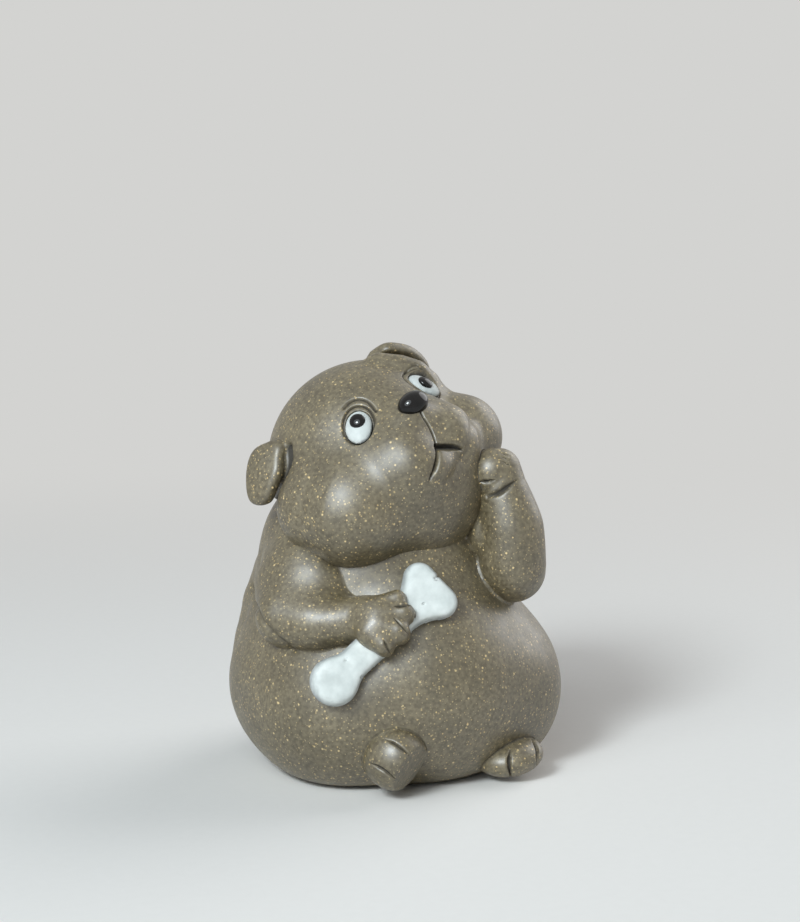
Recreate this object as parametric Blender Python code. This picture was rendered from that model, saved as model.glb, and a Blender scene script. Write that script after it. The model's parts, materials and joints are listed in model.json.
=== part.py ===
"""Seated clay dog with a bone, built as separate pieces of clay.

Each piece starts from a sphere whose points are moved out to the surface of a clay form.
A form is a function that gives the distance from its surface, less than zero inside.
Metres, +Z up, the dog faces -Y, its left side is +X, and the base lies on Z = 0.
"""

import bmesh
import bpy
import numpy as np

# Driving dimensions, in metres
BODY_WIDTH = 0.0500
BODY_DEPTH = 0.0484
BODY_HEIGHT = 0.0490
HEAD_WIDTH = 0.0316
WALL = 0.0030
GAP = 0.0003
NECK_HOLE = 0.0060
BASE_WIDTH = 0.0240
BASE_THICKNESS = 0.0026
VENT_WIDTH = 0.0050
EAR_WIDTH = 0.0080
EAR_LENGTH = 0.0102
EAR_THICKNESS = 0.0020
EYE_HEIGHT = 0.0053
PUPIL_WIDTH = 0.0024
NOSE_WIDTH = 0.0052
UPPER_ARM_WIDTH = 0.0116
WRIST_WIDTH = 0.0068
PAW_WIDTH = 0.0088
BONE_SHAFT_WIDTH = 0.0048
BONE_KNOB_WIDTH = 0.0058
FOOT_WIDTH = 0.0098
TAIL_LENGTH = 0.0100

# Turn of the head: back, over to its right, and round to its left, in degrees
HEAD_PITCH = -42.6
HEAD_ROLL = -20.5
HEAD_YAW = 12.7

# Derived dimensions
HEAD_RADIUS = HEAD_WIDTH / 2
BODY_SIZE = np.array([BODY_WIDTH, BODY_DEPTH, BODY_HEIGHT])
BODY_AXIS = np.array([-0.02, 0.03]) * BODY_SIZE[:2]
HEAD_CENTRE = np.array([-0.076, 0.0, 0.982]) * BODY_SIZE
FAR = 2.0 * (BODY_WIDTH + BODY_HEIGHT)


# Vectors and turns
def unit(vector):
    vector = np.asarray(vector, float)
    return vector / np.linalg.norm(vector)


def turn(about_x, about_y, about_z):
    """Matrix that turns about X, then Y, then Z, by angles in degrees."""
    angles = np.radians([about_x, about_y, about_z])
    (cx, cy, cz), (sx, sy, sz) = np.cos(angles), np.sin(angles)
    x_turn = np.array([[1, 0, 0], [0, cx, -sx], [0, sx, cx]])
    y_turn = np.array([[cy, 0, sy], [0, 1, 0], [-sy, 0, cy]])
    z_turn = np.array([[cz, -sz, 0], [sz, cz, 0], [0, 0, 1]])
    return z_turn @ y_turn @ x_turn


def axes_of(normal, along):
    """Matrix whose columns are the side, along and normal directions."""
    normal = unit(normal)
    along = np.asarray(along, float)
    along = unit(along - normal * (along @ normal))
    return np.stack([np.cross(along, normal), along, normal], axis=1)


HEAD_TURN = turn(HEAD_PITCH, HEAD_ROLL, HEAD_YAW)


# Clay forms
def ellipsoid(points, centre, radii, axes=None):
    local = points - np.asarray(centre, float)
    if axes is not None:
        local = local @ axes
    radii = np.asarray(radii, float)
    near = np.linalg.norm(local / radii, axis=-1)
    slope = np.linalg.norm(local / radii**2, axis=-1)
    return np.where(slope > 1e-6, near * (near - 1) / np.maximum(slope, 1e-6), -radii.min())


def roll(points, path, radii):
    """A tapered roll of clay along a path."""
    nearest = np.full(points.shape[:-1], FAR)
    for start, end, first, last in zip(path[:-1], path[1:], radii[:-1], radii[1:]):
        span = end - start
        share = np.clip((points - start) @ span / (span @ span), 0, 1)
        middle = start + share[..., None] * span
        distance = np.linalg.norm(points - middle, axis=-1) - (first + (last - first) * share)
        nearest = np.minimum(nearest, distance)
    return nearest


def blend(first, second, width):
    """Two forms pressed together, with a fillet of about this width."""
    share = np.clip(0.5 + 0.5 * (second - first) / width, 0, 1)
    return second + (first - second) * share - width * share * (1 - share)


def keep_off(*others):
    """A contact face that stays a gap away from other forms."""
    return lambda points: GAP - np.minimum.reduce([other(points) for other in others])


def both(own, contact):
    """A piece: its own form where that lies clear of its contact face."""
    return lambda points: np.maximum(own(points), contact(points))


def smooth_path(knots, steps):
    """A smooth run of points through the knots."""
    knots = np.asarray(knots, float)
    padded = np.vstack([2 * knots[0] - knots[1], knots, 2 * knots[-1] - knots[-2]])
    places = np.linspace(0, len(knots) - 1, steps)
    spans = np.minimum(places.astype(int), len(knots) - 2)
    share = (places - spans)[:, None]
    a, b, c, d = (padded[spans + shift] for shift in range(4))
    curve = 2 * b + (c - a) * share
    curve = curve + (2 * a - 5 * b + 4 * c - d) * share**2
    return 0.5 * (curve + (3 * b - a - 3 * c + d) * share**3)


# Body and head forms
def whole_body(points):
    form = ellipsoid(points, [-0.012, 0.021, 0.269] * BODY_SIZE, [0.5, 0.5, 0.384] * BODY_SIZE)
    chest = ellipsoid(points, [-0.04, 0.041, 0.673] * BODY_SIZE, [0.37, 0.351, 0.327] * BODY_SIZE)
    form = blend(form, chest, 0.20 * BODY_HEIGHT)
    for side in (1, -1):
        haunch_centre = [0.27 * side, -0.145, 0.245] * BODY_SIZE
        haunch = ellipsoid(points, haunch_centre, [0.20, 0.248, 0.245] * BODY_SIZE)
        form = blend(form, haunch, 0.10 * BODY_WIDTH)
    belly = ellipsoid(points, [0.0, -0.217, 0.327] * BODY_SIZE, [0.28, 0.258, 0.286] * BODY_SIZE)
    form = blend(form, belly, 0.12 * BODY_WIDTH)
    return -blend(-form, points[..., 2], 0.04 * BODY_WIDTH)


def in_head(points):
    """Points in the head's own frame, as shares of its radius: left, back and up."""
    return (points - HEAD_CENTRE) @ HEAD_TURN / HEAD_RADIUS


def head_point(place):
    return HEAD_CENTRE + HEAD_TURN @ np.asarray(place, float) * HEAD_RADIUS


def whole_head(points):
    local = in_head(points)
    form = ellipsoid(local, (0, 0.063, 0.032), (1.0, 0.98, 0.962))
    form = blend(form, ellipsoid(local, (0, -0.095, -0.456), (0.835, 0.823, 0.778)), 0.32)
    form = blend(form, ellipsoid(local, (-0.665, -0.222, -0.411), (0.481, 0.538, 0.538)), 0.25)
    form = blend(form, ellipsoid(local, (0.722, -0.348, -0.392), (0.392, 0.443, 0.411)), 0.16)
    form = blend(form, ellipsoid(local, (-0.253, -0.728, -0.475), (0.329, 0.348, 0.38)), 0.25)
    form = blend(form, ellipsoid(local, (0.266, -0.728, -0.443), (0.329, 0.348, 0.348)), 0.13)
    form = blend(form, ellipsoid(local, (0.019, -0.835, -0.19), (0.228, 0.228, 0.19)), 0.19)
    return form * HEAD_RADIUS


def body_neck(points):
    return whole_body(points) - whole_head(points) + GAP


def head_neck(points):
    return whole_head(points) - whole_body(points) + GAP


# Places on the surface of the body and the head
def first_crossing(form, starts, directions):
    """How far each ray runs from inside a form to its surface."""
    reach = np.zeros(len(starts))
    step = 0.012 * HEAD_WIDTH
    inside = np.ones(len(starts), bool)
    while inside.any() and reach.max() < FAR:
        distance = form(starts + directions * (reach + step)[:, None])
        inside &= distance < 0
        reach = np.where(inside, reach + np.maximum(-0.5 * distance, step), reach)
    low, high = reach, reach + step
    for _ in range(30):
        middle = (low + high) / 2
        outside = form(starts + directions * middle[:, None]) > 0
        low, high = np.where(outside, low, middle), np.where(outside, middle, high)
    return low


def on_body(angle, height, lift):
    """A point this far off the body, at an angle from its front towards its left."""
    start = np.array([[BODY_AXIS[0], BODY_AXIS[1], height * BODY_HEIGHT]])
    direction = np.array([[np.sin(np.radians(angle)), -np.cos(np.radians(angle)), 0.0]])
    return (start + direction * (first_crossing(whole_body, start, direction) + lift))[0]


def on_head(place, lift):
    """The point of the head's surface towards a place in its frame, and the way out there."""
    outward = unit(HEAD_TURN @ np.asarray(place, float))
    reach = first_crossing(whole_head, HEAD_CENTRE[None], outward[None])[0]
    return HEAD_CENTRE + outward * (reach + lift), outward


def outward_of(form, point):
    """The way straight out of a form at a point."""
    nudge = 0.005 * HEAD_WIDTH * np.eye(3)
    return unit(form(point + nudge) - form(point - nudge))


# Moving the points of a sphere out to a form
def deepest(form, point, reach):
    """The innermost point of a form near the one given."""
    point = np.array(point, float)
    step = reach / 4
    while step > reach / 200:
        around = point + step * np.vstack([np.eye(3), -np.eye(3)])
        depths = form(around)
        if depths.min() < form(point[None])[0]:
            point = around[depths.argmin()]
        else:
            step /= 2
    return point


def sphere(segments, rings):
    mesh = bmesh.new()
    bmesh.ops.create_uvsphere(mesh, u_segments=segments, v_segments=rings, radius=1.0)
    return mesh


def directions_of(mesh):
    return np.array([vert.co[:] for vert in mesh.verts])


def place_points(mesh, points):
    for vert, point in zip(mesh.verts, points):
        vert.co = point


def ray_hits(form, starts, directions):
    starts = np.broadcast_to(np.asarray(starts, float), directions.shape)
    return starts + directions * first_crossing(form, starts, directions)[:, None]


def settle(form, core, segments, rings, axes=None):
    """A sphere whose points run out from the core to the form."""
    mesh = sphere(segments, rings)
    directions = directions_of(mesh)
    if axes is not None:
        directions = directions @ np.asarray(axes).T
        directions /= np.linalg.norm(directions, axis=1)[:, None]
    place_points(mesh, ray_hits(form, core, directions))
    return mesh


def rim_shares(own, contact, starts, aim, count):
    """How far round from the contact face its rim lies, from 0 to 1, for each run of rays."""
    low, high = np.zeros(count), np.ones(count)
    for _ in range(12):
        middle = (low + high) / 2
        hits = ray_hits(both(own, contact), starts, aim(middle))
        touching = contact(hits) > own(hits)
        low, high = np.where(touching, middle, low), np.where(touching, high, middle)
    return (low + high) / 2


def snap_shares(share, rim, steps):
    """Shares from 0 to 1 stretched so that one step of them falls on the rim."""
    step = np.clip(np.round(np.median(rim) * steps), 1, steps - 1) / steps
    rim = np.clip(rim, 0.4 * step, 1 - 0.4 * (1 - step))
    near = share / step * rim
    far = rim + (share - step) / (1 - step) * (1 - rim)
    return np.where(share < step + 1e-6, near, far)


def settle_on(own, contact, core, pole, segments, rings, stretch=(0.0, 0.0, 0.0)):
    """A sphere settled to a piece's own form and to its contact face, which lies towards the pole.

    One ring of its points lies on the rim between the two. A stretch crowds the rays along a limb.
    """
    mesh = sphere(segments, rings)
    ball = directions_of(mesh)
    axes = axes_of(pole, np.roll(pole, 1) + (0.1, 0.2, 0.3))
    share = np.arccos(np.clip(ball[:, 2], -1, 1)) / np.pi
    meridian = np.round(np.arctan2(ball[:, 1], ball[:, 0]) / (2 * np.pi) * segments).astype(int)
    meridian %= segments

    def aim(shares, columns):
        tilt, angle = np.pi * shares, 2 * np.pi * columns / segments
        flat = [np.sin(tilt) * np.cos(angle), np.sin(tilt) * np.sin(angle), np.cos(tilt)]
        rays = np.stack(flat, axis=1) @ axes.T
        rays = rays + np.outer(rays @ stretch, stretch)
        return rays / np.linalg.norm(rays, axis=1)[:, None]

    columns = np.arange(segments)
    rim = rim_shares(own, contact, core, lambda shares: aim(shares, columns), segments)
    share = snap_shares(share, rim[meridian], rings)
    place_points(mesh, ray_hits(both(own, contact), core, aim(share, meridian)))
    return mesh


def settle_along(own, contact, path, toward, segments, rings, cap=0.25):
    """A sphere drawn out along a path and settled, with its contact face on the side named."""
    mesh = sphere(segments, rings)
    ball = directions_of(mesh)
    share = np.arccos(np.clip(-ball[:, 2], -1, 1)) / np.pi
    place = np.clip((share - cap) / (1 - 2 * cap), 0, 1) * (len(path) - 1)
    tilt = np.where(share < cap, share / cap, 1 + np.clip((share - 1 + cap) / cap, 0, 1))
    tilt = tilt[:, None] * np.pi / 2
    index = np.arange(len(path))

    def at(values):
        columns = [np.interp(place, index, column) for column in np.transpose(values)]
        return np.stack(columns, axis=1)

    starts, forward, across = at(path), at(np.gradient(path, axis=0)), at(toward)
    forward /= np.linalg.norm(forward, axis=1)[:, None]
    across -= forward * np.sum(across * forward, axis=1)[:, None]
    across /= np.linalg.norm(across, axis=1)[:, None]
    over = np.cross(forward, across)
    angle = np.arctan2(ball[:, 1], ball[:, 0])
    sign = np.where(angle < 0, -1, 1)

    def aim(shares):
        turned = (np.pi * shares * sign)[:, None]
        radial = np.cos(turned) * across + np.sin(turned) * over
        return -np.cos(tilt) * forward + np.sin(tilt) * radial

    rim = rim_shares(own, contact, starts, aim, len(ball))
    shares = snap_shares(np.abs(angle) / np.pi, rim, segments // 2)
    place_points(mesh, ray_hits(both(own, contact), starts, aim(shares)))
    return mesh


# Scene, materials and objects
for existing in list(bpy.data.objects):
    bpy.data.objects.remove(existing)

PARTS = bpy.data.collections.new("Seated clay dog")
CUTTERS = bpy.data.collections.new("Cutters")
bpy.context.scene.collection.children.link(PARTS)
bpy.context.scene.collection.children.link(CUTTERS)
CUTTERS.hide_render = True
FIGURE = bpy.data.objects.new("figure", None)
FIGURE.empty_display_size = 0.25 * BODY_WIDTH
PARTS.objects.link(FIGURE)


def material(name, colour, roughness):
    made = bpy.data.materials.new(name)
    made.use_nodes = True
    shader = made.node_tree.nodes["Principled BSDF"]
    shader.inputs["Base Color"].default_value = (*colour, 1.0)
    shader.inputs["Roughness"].default_value = roughness
    shader.inputs["Metallic"].default_value = 0.0
    made.diffuse_color = (*colour, 1.0)
    return made


CLAY_COLOUR = (0.19, 0.16, 0.11)
SLIP_COLOUR = (0.80, 0.82, 0.80)
GLAZE_COLOUR = (0.01, 0.01, 0.01)


def add_object(name, mesh, collection):
    """An object with its origin in its own middle, parented to the figure."""
    points = directions_of(mesh)
    middle = (points.min(axis=0) + points.max(axis=0)) / 2
    place_points(mesh, points - middle)
    data = bpy.data.meshes.new(name)
    mesh.to_mesh(data)
    mesh.free()
    data.shade_smooth()
    data.set_sharp_from_angle(angle=np.radians(50.0))
    made = bpy.data.objects.new(name, data)
    made.location = middle
    made.parent = FIGURE
    collection.objects.link(made)
    return made


def add_part(name, mesh, colour=CLAY_COLOUR, roughness=0.45):
    made = add_object(name, mesh, PARTS)
    made.data.materials.append(material(name + "_finish", colour, roughness))
    return made


def cut(part, name, mesh):
    """Takes a cutter out of a part."""
    cutter = bpy.data.objects.get(name)
    if cutter is None:
        cutter = add_object(name, mesh, CUTTERS)
        cutter.hide_render = True
        cutter.display_type = "WIRE"
    modifier = part.modifiers.new(name, "BOOLEAN")
    modifier.operation = "DIFFERENCE"
    modifier.solver = "EXACT"
    modifier.object = cutter


def rod(start, end, radius, segments):
    """A straight round rod between two points."""
    start, end = np.asarray(start, float), np.asarray(end, float)
    axes = axes_of(end - start, (1.0, 0.1, 0.1))
    mesh = bmesh.new()
    bmesh.ops.create_cone(
        mesh,
        cap_ends=True,
        segments=segments,
        radius1=radius,
        radius2=radius,
        depth=np.linalg.norm(end - start),
    )
    place_points(mesh, directions_of(mesh) @ axes.T + (start + end) / 2)
    return mesh


# Body shell, with its hollow, its base opening and its neck hole
BODY_CORE = np.array([BODY_AXIS[0], BODY_AXIS[1], 0.42 * BODY_HEIGHT])
NECK_CORE = np.array([BODY_AXIS[0], BODY_AXIS[1], 0.60 * BODY_HEIGHT])
NECK_WAY = unit(HEAD_CENTRE - BODY_CORE)
BASE_RADIUS = BASE_WIDTH / 2


def hollowed(own, contact):
    return lambda points: both(own, contact)(points) + WALL


body_shell = add_part("body_shell", settle_on(whole_body, body_neck, BODY_CORE, NECK_WAY, 38, 24))
cut(body_shell, "body_hollow", settle(hollowed(whole_body, body_neck), BODY_CORE, 24, 14))
opening = rod((0, 0, -WALL), (0, 0, 3 * WALL), BASE_RADIUS + GAP, 36)
cut(body_shell, "base_opening", opening)
cut(body_shell, "neck_hole", rod(NECK_CORE, HEAD_CENTRE, NECK_HOLE / 2, 20))

# Base plate, with a vent set back from its middle
base_plate = add_part("base_plate", rod((0, 0, 0), (0, 0, BASE_THICKNESS), BASE_RADIUS, 36))
vent_back = 0.45 * BASE_RADIUS
vent_foot = (0, vent_back, -BASE_THICKNESS)
vent_top = (0, vent_back, 2 * BASE_THICKNESS)
cut(base_plate, "vent", rod(vent_foot, vent_top, VENT_WIDTH / 2, 16))

# Head shell, with its hollow
head_shell = add_part("head_shell", settle_on(whole_head, head_neck, HEAD_CENTRE, -NECK_WAY, 36, 24))
cut(head_shell, "head_hollow", settle(hollowed(whole_head, head_neck), HEAD_CENTRE, 20, 13))
cut(head_shell, "neck_hole", None)


# Dots pressed into the head: eye whites, pupils and nose
def dot_axes(outward, lean):
    """Side, along and outward axes, with the along axis leaning from the head's own up, in degrees."""
    side, along, outward = axes_of(outward, HEAD_TURN[:, 2]).T
    tip = np.radians(lean)
    return axes_of(outward, along * np.cos(tip) + side * np.sin(tip))


def dot_mesh(centre, axes, radii, segments, rings):
    mesh = sphere(segments, rings)
    place_points(mesh, directions_of(mesh) * radii @ axes.T + centre)
    return mesh


EYE_RADII = np.array([0.385, 0.5, 0.2]) * EYE_HEIGHT
PUPIL_RADII = np.array([0.5, 0.5, 0.26]) * PUPIL_WIDTH
NOSE_RADII = np.array([0.5, 0.37, 0.4]) * NOSE_WIDTH

for side, place, lean, look in (
    ("right", (-0.452, -0.834, 0.052), 36.0, (0.0, 0.12)),
    ("left", (0.472, -0.811, 0.098), -33.0, (-0.12, 0.04)),
):
    centre, _ = on_head(place, -0.06 * EYE_HEIGHT)
    axes = dot_axes(outward_of(whole_head, centre), lean)
    white = dot_mesh(centre, axes, EYE_RADII, 16, 10)
    eye_white = add_part(side + "_eye_white", white, SLIP_COLOUR, 0.5)
    socket = dot_mesh(centre, axes, EYE_RADII + GAP, 16, 10)
    cut(head_shell, side + "_eye_socket", socket)
    shift = np.array([look[0] * EYE_HEIGHT, look[1] * EYE_HEIGHT, 0.84 * EYE_RADII[2]])
    pupil_centre = centre + axes @ shift
    pupil = dot_mesh(pupil_centre, axes, PUPIL_RADII, 12, 8)
    add_part(side + "_pupil", pupil, GLAZE_COLOUR, 0.15)
    dimple = dot_mesh(pupil_centre, axes, PUPIL_RADII + GAP, 12, 8)
    cut(eye_white, side + "_pupil_dimple", dimple)

nose_centre, nose_outward = on_head((0.036, -1.0, -0.095), -0.03 * NOSE_WIDTH)
nose_axes = dot_axes(nose_outward, 0.0)
add_part("nose", dot_mesh(nose_centre, nose_axes, NOSE_RADII, 18, 10), GLAZE_COLOUR, 0.12)
cut(head_shell, "nose_socket", dot_mesh(nose_centre, nose_axes, NOSE_RADII + GAP, 18, 10))


# Lower jaw, a lip of clay under the mouth
jaw_centre, _ = on_head((-0.065, -0.96, -0.72), -0.02 * HEAD_RADIUS)
jaw_outward = outward_of(whole_head, jaw_centre)


def jaw_form(points):
    radii = np.array([0.20, 0.17, 0.11]) * HEAD_RADIUS
    return ellipsoid(points, jaw_centre, radii, dot_axes(jaw_outward, -40.0))


jaw_contact = keep_off(whole_head)
jaw_inside = jaw_centre + jaw_outward * 0.06 * HEAD_RADIUS
jaw_core = deepest(both(jaw_form, jaw_contact), jaw_inside, 0.1 * HEAD_RADIUS)
add_part("lower_jaw", settle_on(jaw_form, jaw_contact, jaw_core, -jaw_outward, 18, 12))


# Ears, leaves of clay that hang from the head by a root at one upper corner
def ear(name, place, hang, outward, lift, size, root):
    axes = axes_of(HEAD_TURN @ np.asarray(outward), HEAD_TURN @ np.asarray(hang))
    centre = head_point(place) + axes[:, 2] * lift * EAR_THICKNESS
    half = size * np.array([EAR_WIDTH, EAR_LENGTH]) / 2
    cup = 1.57 * EAR_LENGTH
    root_centre = np.array(root) * (half[0], half[1], EAR_THICKNESS)
    root_radii = np.array([0.45 * EAR_WIDTH / 2, 0.3 * EAR_LENGTH / 2, 0.8 * EAR_THICKNESS])

    def bent(flat):
        sag = np.sum(flat[..., :2] ** 2, axis=-1) / (2 * cup)
        curved = np.concatenate([flat[..., :2], (flat[..., 2] - sag)[..., None]], axis=-1)
        return curved @ axes.T + centre

    def flat_form(flat):
        shares = np.abs(flat[..., :2] / half) ** 2.5
        edge = (np.sum(shares, axis=-1) ** 0.4 - 1) * half[0]
        face = np.abs(flat[..., 2]) - EAR_THICKNESS / 2
        flap = -blend(-edge, -face, 0.5 * EAR_THICKNESS)
        flap = blend(flap, ellipsoid(flat, root_centre, root_radii), 0.6 * EAR_THICKNESS)
        return np.maximum(flap, GAP - whole_head(bent(flat)))

    core = deepest(flat_form, (0.0, 0.0, 0.0), 0.2 * half[0])
    mesh = settle(flat_form, core, 28, 12, np.diag([1.0, 1.0, 0.4]))
    place_points(mesh, bent(directions_of(mesh)))
    add_part(name, mesh)


right_hang, right_out = (-0.627, 0.609, -0.486), (-0.778, -0.526, 0.344)
ear("right_ear", (-1.013, 0.029, 0.44), right_hang, right_out, 0.2, 1.0, (-0.3, -0.8, -0.6))
left_hang, left_out = (0.597, 0.627, -0.5), (0.541, 0.145, 0.829)
ear("left_ear", (0.755, -0.205, 0.69), left_hang, left_out, 0.0, 1.15, (0.25, -0.6, -0.7))

# Arms
WIDE, THIN = UPPER_ARM_WIDTH / 2, WRIST_WIDTH / 2
STEPS = 22


def arm_radii(shares):
    widths = THIN + (WIDE - THIN) * np.asarray(shares, float)
    return np.interp(np.linspace(0, len(shares) - 1, STEPS), np.arange(len(shares)), widths)


shoulder_centre = on_body(-66.0, 0.600, -0.24 * UPPER_ARM_WIDTH)
SHOULDER_RADII = np.array([0.72, 0.70, 0.55]) * UPPER_ARM_WIDTH
shoulder_out = outward_of(whole_body, shoulder_centre)
shoulder_axes = axes_of(shoulder_out, (0.0, 0.0, 1.0))
right_arm_path = smooth_path(
    [
        on_body(-66.0, 0.530, 0.0),
        on_body(-55.0, 0.527, 0.05 * WRIST_WIDTH),
        on_body(-45.9, 0.535, 0.13 * WRIST_WIDTH),
        on_body(-34.0, 0.555, 0.25 * WRIST_WIDTH),
    ],
    STEPS,
)
left_arm_path = smooth_path(
    [
        on_body(62.7, 0.694, -0.1 * UPPER_ARM_WIDTH),
        on_body(48.0, 0.640, 0.2 * UPPER_ARM_WIDTH),
        on_body(39.0, 0.667, 0.35 * UPPER_ARM_WIDTH),
        on_body(36.9, 0.786, 0.53 * UPPER_ARM_WIDTH),
        on_body(35.6, 0.908, 0.78 * UPPER_ARM_WIDTH),
    ],
    STEPS,
)
RIGHT_ARM_RADII = arm_radii([0.5, 0.4, 0.17, 0.0])
LEFT_ARM_RADII = arm_radii([0.42, 0.6, 0.74, 0.62, 0.15])


def right_arm_form(points):
    shoulder = ellipsoid(points, shoulder_centre, SHOULDER_RADII, shoulder_axes)
    return blend(shoulder, roll(points, right_arm_path, RIGHT_ARM_RADII), 0.25 * UPPER_ARM_WIDTH)


def left_arm_form(points):
    return roll(points, left_arm_path, LEFT_ARM_RADII)


def lie_on_body(name, own, contact, path, segments, rings, *finish):
    """A roll along a path, whose core moves straight out of the body to its own middle."""
    nudge = 0.01 * WIDE * np.eye(3)
    outward = np.stack([whole_body(path + axis) - whole_body(path - axis) for axis in nudge], axis=1)
    outward /= np.linalg.norm(outward, axis=1)[:, None]
    lifts = np.linspace(-0.2, 1.2, 57) * WIDE
    depths = np.array([both(own, contact)(path + outward * lift) for lift in lifts])
    best = lifts[depths.argmin(axis=0)]
    for _ in range(3):
        best[1:-1] = (best[:-2] + 2 * best[1:-1] + best[2:]) / 4
    core = path + outward * best[:, None]
    add_part(name, settle_along(own, contact, core, -outward, segments, rings), *finish)


arm_contact = keep_off(whole_body, whole_head)
elbow = on_body(-62.0, 0.540, 0.22 * WIDE)
elbow_out = outward_of(whole_body, elbow)
elbow_core = deepest(both(right_arm_form, arm_contact), elbow, 0.3 * THIN)
forearm_way = 1.3 * unit(right_arm_path[-1] - right_arm_path[0])
right_arm_mesh = settle_on(
    right_arm_form, arm_contact, elbow_core, -elbow_out, 30, 18, forearm_way
)
add_part("right_arm", right_arm_mesh)
lie_on_body("left_arm", left_arm_form, arm_contact, left_arm_path, 20, 24)

# Bone
bone_low = on_body(-41.2, 0.384, 0.41 * BONE_SHAFT_WIDTH)
bone_high = on_body(-8.1, 0.624, 0.49 * BONE_SHAFT_WIDTH)
bone_along = unit(bone_high - bone_low)
bone_across = unit(np.cross(bone_along, [-0.3, -0.9, 0.3]))
KNOB = BONE_KNOB_WIDTH / 2
bone_axes = axes_of(np.cross(bone_across, bone_along), bone_along)


def bone_form(points):
    """A shaft with one broad low end, two lobes at its high end, and a flattened face."""
    form = roll(points, np.array([bone_low, bone_high]), [BONE_SHAFT_WIDTH / 2] * 2)
    low_knob = bone_low - bone_along * 0.3 * KNOB
    low_radii = np.array([1.25, 1.2, 0.95]) * KNOB
    form = blend(form, ellipsoid(points, low_knob, low_radii, bone_axes), 0.5 * KNOB)
    for side in (1, -1):
        neck = bone_high + (bone_across * 0.25 * side - bone_along * 1.0) * KNOB
        lobe = bone_high + (bone_across * 0.82 * side + bone_along * 0.02) * KNOB
        high_end = roll(points, np.array([neck, lobe]), [0.72 * KNOB, 0.84 * KNOB])
        form = blend(form, high_end, 0.4 * KNOB)
    flat_face = (points - bone_high) @ bone_axes[:, 2] - 0.66 * KNOB
    return -blend(-form, -flat_face, 0.3 * KNOB)


bone_contact = keep_off(whole_body, right_arm_form)
bone_path = np.linspace(bone_low, bone_high, STEPS)
lie_on_body("bone", bone_form, bone_contact, bone_path, 18, 24, SLIP_COLOUR, 0.5)


# Paws, feet and tail, lumps that sit on the forms behind them
def lump(name, centre, radii, axes, contact, lift, segments, rings):
    def form(points):
        return ellipsoid(points, centre, radii, axes)

    core = deepest(both(form, contact), centre + lift, 0.5 * np.min(radii))
    pole = -outward_of(lambda points: -contact(points), core)
    add_part(name, settle_on(form, contact, core, pole, segments, rings))


PAW = PAW_WIDTH / 2
right_paw_centre = on_body(-25.4, 0.545, 0.7 * PAW)
left_paw_centre, _ = on_head((0.55, -0.61, -0.94), 0.28 * PAW)
paw_lift = np.array([-0.2, -0.55, 0.1]) * PAW
paw_contact = keep_off(whole_body, bone_form, right_arm_form)
paw_radii = np.array([1.05, 0.8, 1.08]) * PAW
lump("right_paw", right_paw_centre, paw_radii, turn(0, 0, 30), paw_contact, paw_lift, 22, 14)
paw_lift = np.array([-0.1, -0.5, 0.4]) * PAW
paw_contact = keep_off(whole_body, whole_head, left_arm_form)
paw_radii = np.array([0.8, 0.78, 0.82]) * PAW
lump("left_paw", left_paw_centre, paw_radii, turn(0, 0, 0), paw_contact, paw_lift, 20, 12)

FOOT = FOOT_WIDTH / 2
foot_lift = np.array([0.0, -0.5, 0.0]) * FOOT
foot_centre = on_body(-23.1, 0.124, 0.03 * FOOT)
foot_radii = np.array([0.96, 1.06, 1.0]) * FOOT
lump("right_foot", foot_centre, foot_radii, turn(0, 0, 0), keep_off(whole_body), foot_lift, 22, 14)
foot_centre = on_body(30.1, 0.073, 0.06 * FOOT)
foot_radii = np.array([1.1, 1.02, 0.59]) * FOOT
lump("left_foot", foot_centre, foot_radii, turn(0, -8, 10), keep_off(whole_body), foot_lift, 22, 14)

tail_centre = on_body(178.0, 0.184, 0.14 * TAIL_LENGTH)
tail_lift = np.array([0.0, 0.15, 0.0]) * TAIL_LENGTH
tail_radii = np.array([0.32, 0.32, 0.5]) * TAIL_LENGTH
lump("tail", tail_centre, tail_radii, turn(18, 0, 0), keep_off(whole_body), tail_lift, 16, 12)
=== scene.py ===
# %% [markdown]
# # A seated clay dog with a bone
# The real object is a small tea-tray figure: hollow stoneware clay, pressed and rolled by hand,
# luted together, burnished and fired without a glaze. Only the eyes and the bone carry white
# slip, and only the nose and the pupils are glazed.
# The measured model is loaded first. It is the frame, and every piece below stands for one of
# its nodes, in the same metres and the same axes: +Z up, the face towards -Y, its left at +X.

import json
from functools import partial

import bmesh
import bpy
import numpy as np
from mathutils import Matrix

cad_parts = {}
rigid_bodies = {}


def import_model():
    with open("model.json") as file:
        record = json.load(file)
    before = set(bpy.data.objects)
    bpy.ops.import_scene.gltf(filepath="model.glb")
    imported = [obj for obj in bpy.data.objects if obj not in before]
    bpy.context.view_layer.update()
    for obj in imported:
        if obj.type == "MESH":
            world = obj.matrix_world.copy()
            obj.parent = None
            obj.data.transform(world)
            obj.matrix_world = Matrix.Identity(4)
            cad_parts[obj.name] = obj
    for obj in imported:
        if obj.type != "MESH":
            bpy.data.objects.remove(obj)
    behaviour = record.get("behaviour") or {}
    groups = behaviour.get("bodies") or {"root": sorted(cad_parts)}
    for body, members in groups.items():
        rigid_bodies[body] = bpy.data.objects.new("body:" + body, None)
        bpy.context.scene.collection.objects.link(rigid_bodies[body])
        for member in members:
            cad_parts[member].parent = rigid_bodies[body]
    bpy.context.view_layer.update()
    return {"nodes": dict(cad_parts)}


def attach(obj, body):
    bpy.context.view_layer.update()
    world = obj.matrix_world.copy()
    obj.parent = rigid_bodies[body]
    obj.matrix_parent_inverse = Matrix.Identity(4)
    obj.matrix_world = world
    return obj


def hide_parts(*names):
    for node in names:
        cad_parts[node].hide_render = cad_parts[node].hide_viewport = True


for startup in list(bpy.data.objects):
    bpy.data.objects.remove(startup)

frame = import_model()

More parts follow.
